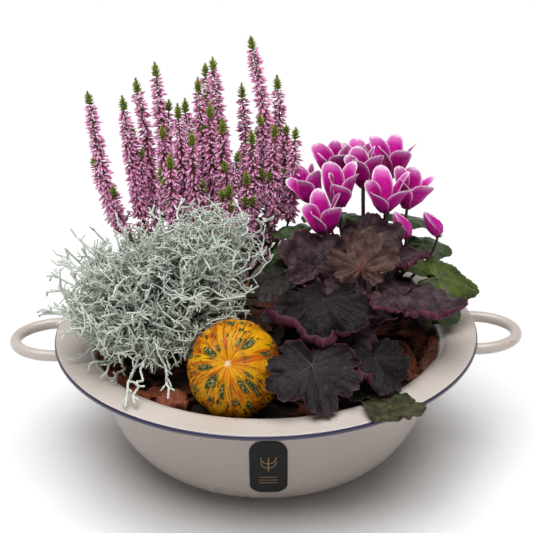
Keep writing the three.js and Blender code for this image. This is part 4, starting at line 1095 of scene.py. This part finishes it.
def add_petal(shell, at, tilt, turn, length, half_width, lean, random):
    """A swept-back petal. It starts under the head, bulges round its foot, wraps the head like a cup and
    ends broad and rounded."""
    rows, columns = 28, 21
    t = np.linspace(0, 1, rows)[:, None]
    s = np.linspace(-1, 1, columns)[None]
    tip = np.sqrt(np.clip(1 - (np.clip(t - 0.58, 0, 1) / 0.42) ** 2.2, 0.0004, 1))
    width = half_width * (0.62 + 0.38 * smooth(0, 0.5, t)) * tip
    out = 4.4 + 5.2 * np.sin(np.minimum(t / 0.3, 1) * np.pi / 2)
    out = out + lean * length * t**1.4 + 0.08 * length * t**4
    round_by = 8.5 + 15 * t
    wrap = s * width / round_by
    across, depth = round_by * np.sin(wrap), round_by * (np.cos(wrap) - 1)
    depth = depth + 0.45 * np.sin(4 * t * np.pi + 6 * random.random()) * s**2 * t
    depth = depth - 0.4 * np.exp(-((s / 0.1) ** 2)) * smooth(0, 0.3, t) * (1 - t)
    vane = np.radians(10 + 26 * t * random.uniform(0.3, 1.1))
    x = across * np.cos(vane) + depth * np.sin(vane)
    y = out - across * np.sin(vane) + depth * np.cos(vane)
    height = length * (t - 0.1 * t * t) - 3.2 * (1 - t) ** 3 + 0 * s
    skin = stacked(x, y, height)
    normal = unit(np.cross(np.gradient(skin, axis=1), np.gradient(skin, axis=0)))
    thick = 0.26 * (1 - 0.4 * t[..., None]) * normal
    c, w = math.cos(turn), math.sin(turn)
    both = np.stack([skin + thick, skin - thick]) @ np.array([[c, w, 0], [-w, c, 0], [0, 0, 1]])
    edge = np.minimum((1 - np.abs(s)) * width * (1 - 0.35 * t), (1 - t) * length * 0.34)
    marks = stacked(edge, t, random.random())
    n, faces = rows * columns, grid(rows, columns)
    ring, after = edge_of(rows, columns)
    rim = stacked(ring, ring + n, after + n, after)
    shell.add(tilted(both, at, tilt), [faces, faces[:, ::-1] + n, rim], np.stack([marks, marks]))


def add_bloom(shell, at, size, tilt, lean, turn, random):
    """Five petals swept up from a rounded mouth that looks down, with its stalk."""
    for i in range(5):
        start = math.radians(turn)
        length = size * (1 + 0.09 * math.sin(5 * i + start))
        out = lean * random.uniform(0.1, 1.3) - 0.04
        add_petal(shell, at, tilt, start + 2 * np.pi * i / 5, length, size * 0.33, out, random)
    a = all_round(30)
    height, share, up = (np.array(column, float)[:, None] for column in zip(*MOUTH))
    rings = round_points(size * 0.17 * share * (1 + 0.05 * np.cos(5 * a)), a, height)
    marks = stacked(9.0, up + 0 * a, 0.9)
    shell.add(tilted(rings, at, tilt), [grid(len(MOUTH), len(a), True)[:, ::-1]], marks)
    add_flower_stalk(shell, at)


def add_bud(shell, at, size, tilt):
    """Petals furled to a pointed spindle, with the white margins winding round it."""
    rows, around = 40, 60
    t = np.linspace(0, 1, rows)[:, None]
    a = all_round(around)
    wind = (5 * (a / (2 * np.pi)) + 0.5 * t) % 1
    swell = np.interp(t, [0, 0.05, 0.18, 0.4, 0.7, 0.9, 1], [0.25, 0.68, 0.95, 1, 0.72, 0.34, 0.02])
    radius = size * 0.27 * swell * (1 + 0.16 * (0.5 - wind) * smooth(0.05, 0.3, t))
    points = round_points(radius, a, -3 + (size + 3) * t)
    edge = wind * 1.26 * radius + 3 * smooth(0.2, 0.0, t)
    marks = stacked(edge, 0.15 + t * 0.8, 0.6)
    shell.add(tilted(points, at, tilt), [grid(rows, around, True)], marks)
    add_flower_stalk(shell, at)


def add_flower_stalk(shell, at):
    """The stalk, which spreads from the corm, with the small green calyx under the head."""
    x, y, z = at
    near = [c + STALK_SPREAD * (head - c) for c, head in zip(CORM, (x, y))]
    line = bent_line((*near, STALK_FOOT), at, UP, 26)
    radii = np.interp(np.linspace(0, 1, 27), [0, 0.4, 0.97, 1], [2.0, 1.6, 1.35, 1.2])
    add_tube(shell, line, radii, 12, skin=1)
    calyx = spindle([(0, 0.1), (0.3, 0.24), (0.7, 0.18), (1, 0)], 6)
    ways = round_points(1, all_round(5) + 0.3, 0.25)
    scatter(shell, calyx, [[x, y, z - 5.4]], ways, 6.0, 0.5, 0.5, 1, flat=0.35)


def make_blooms():
    skins = [petal_skin(), stem_skin("flower_stalk", (40, 18, 22), (78, 34, 44), 0.4)]
    shells = {f"bloom_{number}": Shell() for number in range(1, len(BLOOMS) + 1)}
    for number, (shell, bloom) in enumerate(zip(shells.values(), BLOOMS)):
        add_bloom(shell, *bloom, np.random.default_rng(200 + number))
    for number, bud in enumerate(BUDS, 1):
        shells[f"bud_{number}"] = Shell()
        add_bud(shells[f"bud_{number}"], *bud)
    for name, shell in shells.items():
        piece(f"cyclamen_flower_{name}", shell, skins, [f"cyclamen_{name}"])


# ---------------------------------------------------------------- heather

HEATHER = dict(crown=(-58, 64), spread=0.36, reach=10.6, tip_length=15)

# Each sprig is two or three spikes from one woody root: where its florets begin, and its green tip.
SPRIGS = [
    [[(-140, 37, 222), (-158, 32, 351)], [(-119, 61, 217), (-130, 60, 336)]],
    [[(-110, 85, 219), (-121, 88, 345)], [(-92, 76, 240), (-100, 78, 363)]],
    [[(-84, 30, 222), (-86, 28, 290)], [(-92, 52, 230), (-94, 50, 311)]],
    [[(-76, 54, 226), (-79, 52, 330)], [(-65, 38, 222), (-65, 35, 309)]],
    [[(-73, 92, 222), (-75, 96, 322)], [(-51, 98, 222), (-55, 104, 355)]],
    [[(-57, 66, 230), (-60, 66, 351)], [(-52, 82, 230), (-54, 84, 335)]],
    [[(-36, 44, 224), (-36, 42, 318)], [(-49, 52, 230), (-49, 51, 331)], [(-32, 28, 212), (-32, 25, 262)]],
    [[(-35, 73, 216), (-46, 74, 370)], [(-19, 93, 214), (-21, 98, 335)]],
    [[(10, 64, 236), (-11, 63, 392)], [(25, 57, 216), (31, 57, 306)]],
    [[(20, 90, 232), (14, 94, 344)], [(-2, 80, 232), (3, 82, 317)]],
    [[(8, 48, 222), (12, 44, 313)], [(-8, 46, 232), (-10, 44, 306)], [(-15, 32, 216), (-16, 28, 272)]],
]

FLORET = spindle([(0, 0.05), (0.22, 0.06), (0.38, 0.115), (0.66, 0.135), (0.88, 0.08), (1, 0)], 5)
SCALE_LEAF = spindle([(0, 0.1), (0.45, 0.19), (1, 0)], 4)
WHORL_STEP = 1.7  # how far apart the rings of florets stand
WHORL = 6  # florets in a ring
TURN = 6.28  # radians all round, near enough for a random draw


def foot_of(spike):
    x, y, _ = spike[0]
    crown = HEATHER["crown"]
    return crown[0] + HEATHER["spread"] * (x - crown[0]), crown[1] + HEATHER["spread"] * (y - crown[1])


def ring_ways(axis, angles, rise):
    """Directions round an axis, each raised towards it by its own angle."""
    u, v = cross_axes(axis)
    flat = np.cos(angles)[:, None] * u + np.sin(angles)[:, None] * v
    return flat * np.cos(rise)[:, None] + axis * np.sin(rise)[:, None]


def add_flowers(shell, start, axis, length, tip_length, reach, random):
    """A flowering stem: florets all round it on small leaves, then a green tip."""
    sway = random.normal(size=2) * 0.012 * length
    u, v = cross_axes(axis)

    def along(share):
        bow = np.sin(np.pi * share)[:, None] * (sway[0] * u + sway[1] * v)
        return start + axis * length * share[:, None] + bow

    add_tube(shell, along(np.linspace(0, 0.96, 16)), np.linspace(1.1, 0.5, 16), 6, skin=2)
    flowered = 1 - tip_length / length
    whorls = max(4, int(flowered * length / WHORL_STEP))
    k = np.repeat(np.arange(whorls), WHORL)
    n = len(k)
    share = k / whorls
    places = along(np.clip(share * flowered + random.uniform(-0.8, 0.8, n) / length, 0, 1))
    angles = 2.4 * k + 2 * np.pi * (np.arange(n) % WHORL) / WHORL + random.normal(size=n) * 0.3
    droop = np.radians(-38 + 34 * share**1.1 + random.normal(size=n) * 12)
    lumps = 0.87 + 0.13 * np.sin(share * flowered * length / WHORL_STEP + 3 * angles)
    size = reach * (1 - 0.3 * share**1.5) * lumps * random.uniform(0.75, 1.12, n)
    tones = np.clip(0.5 + 0.27 * random.normal(size=n) + 0.12 * math.sin(9 * start[0]), 0, 1)
    keep = random.random(n) > 0.1
    ways = ring_ways(axis, angles, droop)
    places = places + ways * (1.5 * (1 - 0.5 * share))[:, None]
    scatter(shell, FLORET, places[keep], ways[keep], size[keep], tones[keep], share[keep])

    leaves = int(0.9 * length)
    at = along(random.random(leaves) * flowered)
    ways = ring_ways(axis, random.random(leaves) * TURN, np.radians(random.uniform(5, 50, leaves)))
    sizes, tones = random.uniform(2.6, 4.4, leaves), random.random(leaves)
    scatter(shell, SCALE_LEAF, at + ways, ways, sizes, tones, 1, 1, 0.6)
    top = along(np.array([flowered]))[0]
    add_shoot(shell, top, axis, tip_length * random.uniform(0.85, 1.1), random, 3, 5.8)


def add_shoot(shell, at, heading, length, random, skin, leaf_size):
    """A leafy shoot: scale leaves in four rows that spread up and out, smaller to the tip."""
    rows = max(3, int(length / 1.15))
    k = np.repeat(np.arange(rows), 4)
    n = len(k)
    share = k / rows
    angles = np.pi / 2 * (np.arange(n) % 4) + (k % 2) * np.pi / 4
    spread = np.sin(np.clip(share * 1.15 + 0.2, 0, 1) * np.pi) ** 0.6
    rise = np.radians(16 + 50 * share + random.normal(size=n) * 7)
    size = leaf_size * (0.5 + 0.55 * spread)
    heading = unit(heading)
    points = at + heading * (share * length * 0.86)[:, None]
    ways = ring_ways(heading, angles, rise)
    scatter(shell, SCALE_LEAF, points, ways, size, random.random(n), share, skin, 0.6)
    line = at + heading * np.linspace(0, length * 0.94, 4)[:, None]
    add_tube(shell, line, [0.5, 0.45, 0.4, 0.2], 4, skin=2)


def add_lower_growth(shell, lower, random):
    """Short leafy side shoots on the bare stem under the florets, with a few florets."""
    count = 14
    for _ in range(13):
        share = random.uniform(0.3, 1.0)
        at = lower[int(share * (len(lower) - 1))] + random.normal(size=3) * 0.5
        turn = random.random() * TURN
        heading = unit(np.array([math.cos(turn), math.sin(turn), random.uniform(0.5, 1.6)]))
        length = random.uniform(14, 30)
        add_shoot(shell, at, heading, length, random, 1, 3.6)
        places = at + heading * (random.uniform(0.5, 1.0, count) * length)[:, None]
        ways = ring_ways(heading, random.random(count) * TURN, np.radians(random.uniform(-40, 30, count)))
        sizes, tones = random.uniform(4, 6.5, count), random.random(count)
        scatter(shell, FLORET, places, ways, sizes, tones, random.uniform(-0.1, 0.4))


def add_spike(shell, root, spike, random):
    """One stem from the root: leafy below, then its flowers, with two shorter branches beside it."""
    start, tip = np.array(spike, float)
    axis, length, reach = unit(tip - start), np.linalg.norm(tip - start), HEATHER["reach"]
    lower = bent_line([*foot_of(spike), MULCH_TOP + 4], start, axis, 14)
    line = np.concatenate([[[*root, MULCH_TOP - 9]], lower])
    add_tube(shell, line, np.linspace(1.8, 1.1, len(line)), 6, skin=2)
    add_flowers(shell, start, axis, length, HEATHER["tip_length"], reach, random)
    add_lower_growth(shell, lower, random)
    for _ in range(2):
        turn = random.random() * TURN
        aside = np.array([math.cos(turn), 0.7 * math.sin(turn), 0])
        at = start + axis * random.uniform(-0.12, 0.22) * length + aside * 2
        rise = max(length * random.uniform(0.34, 0.6), 32)
        heading = unit(axis + aside * random.uniform(0.13, 0.22))
        add_flowers(shell, at, heading, rise, random.uniform(8, 12), reach * 0.9, random)


def make_heather():
    skins = [
        floret_skin(),
        heather_leaf("heather_leaf", (66, 70, 34), (122, 128, 64)),
        stem_skin("heather_wood", (70, 54, 36), (112, 90, 60), 0.7),
        heather_leaf("heather_tip", (84, 104, 26), (156, 168, 60)),
    ]
    for number, spikes in enumerate(SPRIGS, 1):
        random, shell = np.random.default_rng(100 + number), Shell()
        root = np.mean([foot_of(spike) for spike in spikes], 0)
        wood = [[*root, SOIL_TOP + 0.6], [*root, MULCH_TOP - 6], [*root, MULCH_TOP + 1]]
        add_tube(shell, wood, [3.2, 3.0, 2.2], 10, skin=2)
        for spike in spikes:
            add_spike(shell, root, spike, random)
        piece(f"heather_sprig_{number}", shell, skins, [f"heather_{number}"])


# ---------------------------------------------------------------- cushion bush

BUSH = dict(
    centre=(-103, -55, 168), reach=(88, 64, 76), root=(-103, -50), arching=100, filling=700, stout=1.15,
    foot_radius=162, widens_from=140, widens_by=1.05, clear_of_gourd=3.5, rim_from=152, over_rim=127.5,
    scale_step=1.5,
)
SHOULDER = dict(centre=(-50, -34, 208), reach=(44, 30, 46), filling=150)  # the lobe above the gourd

# Where the longest twigs end, as the photograph shows.
LONG_TWIGS = [
    (-208, -38, 156), (-200, -24, 190), (-186, -62, 146), (-158, -6, 230), (-62, -16, 256), (-28, -20, 242),
    (-8, -24, 222), (8, -16, 240), (-12, -52, 208), (-112, -154, 130), (-84, -150, 132), (-136, -112, 128),
    (-205, -62, 172), (-196, -4, 208), (-180, 8, 224), (-136, 4, 240), (-100, -2, 250), (-174, -72, 129),
    (-158, -92, 128), (-146, -104, 128), (-120, -156, 128), (-74, -6, 258), (-42, -10, 254), (-192, -40, 214),
]


def knobbly(line, radius):
    """Points closer along a kinked line, with a radius that swells at each pressed scale leaf."""
    run = np.concatenate([[0], np.cumsum(np.linalg.norm(np.diff(line, axis=0), axis=1))])
    count = max(3, int(run[-1] / BUSH["scale_step"]))
    at = np.linspace(0, run[-1], count)
    fine = stacked(*(np.interp(at, run, column) for column in line.T))
    fine[1:-1] = 0.25 * fine[:-2] + 0.5 * fine[1:-1] + 0.25 * fine[2:]
    return fine, radius * np.linspace(1, 0.85, count) * (1 + 0.22 * (-1.0) ** np.arange(count))


def in_the_clear(points):
    """Pushes points out of the gourd and up off the mulch and the rim."""
    centre = np.array(GOURD["centre"], float)
    away = np.array(points) - centre
    size = np.linalg.norm(away / (np.array(GOURD["radii"]) + BUSH["clear_of_gourd"]), axis=1)
    points = centre + away * np.where(size < 1, 1 / np.maximum(size, 0.2), 1.0)[:, None]
    beyond = np.hypot(points[:, 0], points[:, 1]) > BUSH["rim_from"]
    points[:, 2] = np.maximum(points[:, 2], np.where(beyond, BUSH["over_rim"], MULCH_TOP + 3))
    return points


def tucked_in(points):
    """Pulls low points in from the rim: the cushion's foot is narrower than its middle."""
    points = np.array(points)
    above = np.maximum(0, points[:, 2] - BUSH["widens_from"])
    return pulled_in(points, BUSH["foot_radius"] + BUSH["widens_by"] * above)


def any_way(random, lowest):
    """A random direction whose height is no lower than a share of its length."""
    polar, turn = math.acos(random.uniform(lowest, 1)), 2 * np.pi * random.random()
    return round_points(math.sin(polar), turn, math.cos(polar))


def add_twig(shell, line, radius, out, random, spurs):
    """A kinked stem with short side spurs at wide angles."""
    fine, radii = knobbly(in_the_clear(line), radius)
    tone = np.clip(random.normal(0.55, 0.25), 0, 1)
    add_tube(shell, fine, radii, 5, tone, out)
    last = len(fine) - 1
    for _ in range(spurs):
        i = random.integers(int(len(fine) * 0.25), last)
        ahead = unit(fine[min(i + 1, last)] - fine[i - 1])
        way = unit(ahead * random.uniform(0.1, 0.8) + unit(random.normal(size=3)) + UP * 0.1)
        half = random.uniform(5, 11) / 2
        bend = unit(way + ahead * random.uniform(-0.5, 1.1))
        spur = [fine[i], fine[i] + way * half, fine[i] + way * half + bend * half]
        add_tube(shell, *knobbly(in_the_clear(spur), radius * 0.85), 4, tone, out)


def make_bush():
    """A tangle of wiry stems: some arch out from the root, the rest fill the outside of the cushion."""
    random = np.random.default_rng(77)
    shells = [Shell() for _ in range(3)]
    centre, reach = np.array(BUSH["centre"], float), np.array(BUSH["reach"], float)
    root = np.array([*BUSH["root"], MULCH_TOP - 2.0])
    add_tube(shells[0], [root - [0, 0, 14], root, root + [0, 0, 16]], [6, 5.5, 4], 10, 0.1)
    for i in range(BUSH["arching"]):
        way = any_way(random, -0.35)
        end = centre + reach * random.uniform(0.85, 1.2) * way
        line = bent_line(root + random.normal(size=3) * [3, 3, 0], end, unit(end - centre), 9)
        line[1:] += random.normal(size=(9, 3)) * 2.2
        add_twig(shells[i % 3], tucked_in(line), BUSH["stout"], 0.8, random, 7)
    shoulder = [np.array(SHOULDER[k], float) for k in ("centre", "reach")]
    lobes = [(centre, reach * 0.92, BUSH["filling"]), (*shoulder, SHOULDER["filling"])]
    for middle, size, count in lobes:
        for i in range(count):
            out = any_way(random, -0.42)
            line = [middle + size * out * random.uniform(0.4, 0.9)]
            heading = unit(out * random.uniform(0.2, 1.1) + unit(random.normal(size=3)) * 0.9 + UP * 0.12)
            for _ in range(random.integers(5, 9)):
                heading = unit(heading + random.normal(size=3) * 0.46)
                after = line[-1] + heading * random.uniform(4, 7)
                if np.linalg.norm((after - middle) / size) > 1.1:
                    heading = unit(heading - out * (heading @ out) * 1.2)
                    after = line[-1] + heading * 6
                line.append(after)
            share = np.linalg.norm((np.mean(line, 0) - centre) / reach)
            add_twig(shells[i % 3], tucked_in(line), random.uniform(0.62, 0.9), share, random, 5)
    for i, end in enumerate(LONG_TWIGS):
        start = centre + (np.array(end, float) - centre) * 0.42
        line = start + (end - start) * np.linspace(0, 1, 9)[:, None]
        line[1:-1] += random.normal(size=(7, 3)) * 2.6
        add_twig(shells[i % 3], line, BUSH["stout"], 1.0, random, 7)
    skin = silver_stem()
    for shell, part in zip(shells, "abc"):
        piece(f"silver_bush_{part}", shell, [skin], ["cushion_bush"])


# ---------------------------------------------------------------- stage

CAMERA = dict(target=(1.415, 0, 185.56), distance=1200, elevation=24.317, yaw=-0.2, roll=-0.847, lens=86.65)


def add_camera():
    """The photograph's own view: where it stands, its small roll and its lens."""
    c = CAMERA
    yaw, rise, roll = (math.radians(c[k]) for k in ("yaw", "elevation", "roll"))
    back = Vector((math.sin(yaw) * math.cos(rise), -math.cos(yaw) * math.cos(rise), math.sin(rise)))
    right = (-back).cross(Vector((0, 0, 1))).normalized()
    up = right.cross(-back)
    turned_right = right * math.cos(roll) + up * math.sin(roll)
    turned_up = up * math.cos(roll) - right * math.sin(roll)
    camera = bpy.data.cameras.new("camera")
    camera.lens, camera.sensor_width = c["lens"], 36
    camera.clip_end = 100
    holder = linked("camera", camera)
    place = (Vector(c["target"]) + back * c["distance"]) * MM
    axes = Matrix((turned_right, turned_up, back)).transposed().to_4x4()
    holder.matrix_world = Matrix.Translation(place) @ axes
    bpy.context.scene.camera = holder


def add_lights():
    """A broad soft sun nearly overhead, and a small soft lamp in front, in metres and watts."""
    sun = bpy.data.lights.new("sky_light", "SUN")
    sun.energy, sun.angle = 3.4, math.radians(60)
    linked("sky_light", sun).rotation_euler = (math.radians(4), 0, math.radians(-20))
    lamp = bpy.data.lights.new("key", "AREA")
    lamp.size, lamp.energy = 0.5, 3.0
    place, aim = Vector((-0.35, -0.75, 1.4)), Vector((0, 0, 0.15))
    holder = linked("key", lamp)
    holder.location = place
    holder.rotation_euler = (aim - place).to_track_quat("-Z", "Y").to_euler()


def add_sky():
    """A sky that is brighter near the horizon."""
    world = bpy.data.worlds.new("studio")
    world.use_nodes = True
    nodes, links = world.node_tree.nodes, world.node_tree.links
    background = nodes["Background"]
    background.inputs["Color"].default_value = (1, 1, 1, 1)
    place, parts, fade = (nodes.new("ShaderNode" + kind) for kind in ("TexCoord", "SeparateXYZ", "MapRange"))
    fade.interpolation_type = "SMOOTHSTEP"
    for socket, value in enumerate((0.02, 0.3, 0.95, 0.16), 1):
        fade.inputs[socket].default_value = value
    links.new(place.outputs["Generated"], parts.inputs[0])
    links.new(parts.outputs["Z"], fade.inputs[0])
    links.new(fade.outputs[0], background.inputs["Strength"])
    bpy.context.scene.world = world


def add_floor():
    """A pale floor that reaches far beyond the view."""
    mesh = bpy.data.meshes.new("floor")
    half = 40.0
    corners = [(-half, -half, 0), (half, -half, 0), (half, half, 0), (-half, half, 0)]
    mesh.from_pydata(corners, [], [(0, 1, 2, 3)])
    mesh.materials.append(Paint("studio_floor", Roughness=0.9, Base_Color=(0.82, 0.82, 0.82, 1)).material)
    floor = linked("floor", mesh)


# ---------------------------------------------------------------- assembly

add_camera()
add_sky()
add_floor()
add_lights()
bpy.context.scene.view_settings.view_transform = "Standard"
greige = enamel()
make_basin(greige)
make_handle(1, "right", greige)
make_handle(-1, "left", greige)
make_label(label_plate(), label_print())
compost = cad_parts["potting_soil"].data.materials
compost.clear()
compost.append(soil())
brown_bark = bark("brown_bark", (26, 17, 13), (84, 54, 38), (116, 62, 40))
red_bark = bark("red_bark", (58, 28, 18), (142, 78, 52), (160, 82, 50))
# painted light: a lighter copy of the red bark that lifts the laid chips of skin 2 and the chunks lying in
# the leaves' shade
painted_light_bark = bark("painted_light_bark", (70, 38, 27), (158, 98, 72), (160, 88, 60))
make_mulch(soil(), [brown_bark, red_bark, painted_light_bark])
make_chunks(painted_light_bark)
make_gourd(gourd_skin())
make_heuchera()
make_cyclamen_leaves()
make_blooms()
make_heather()
make_bush()
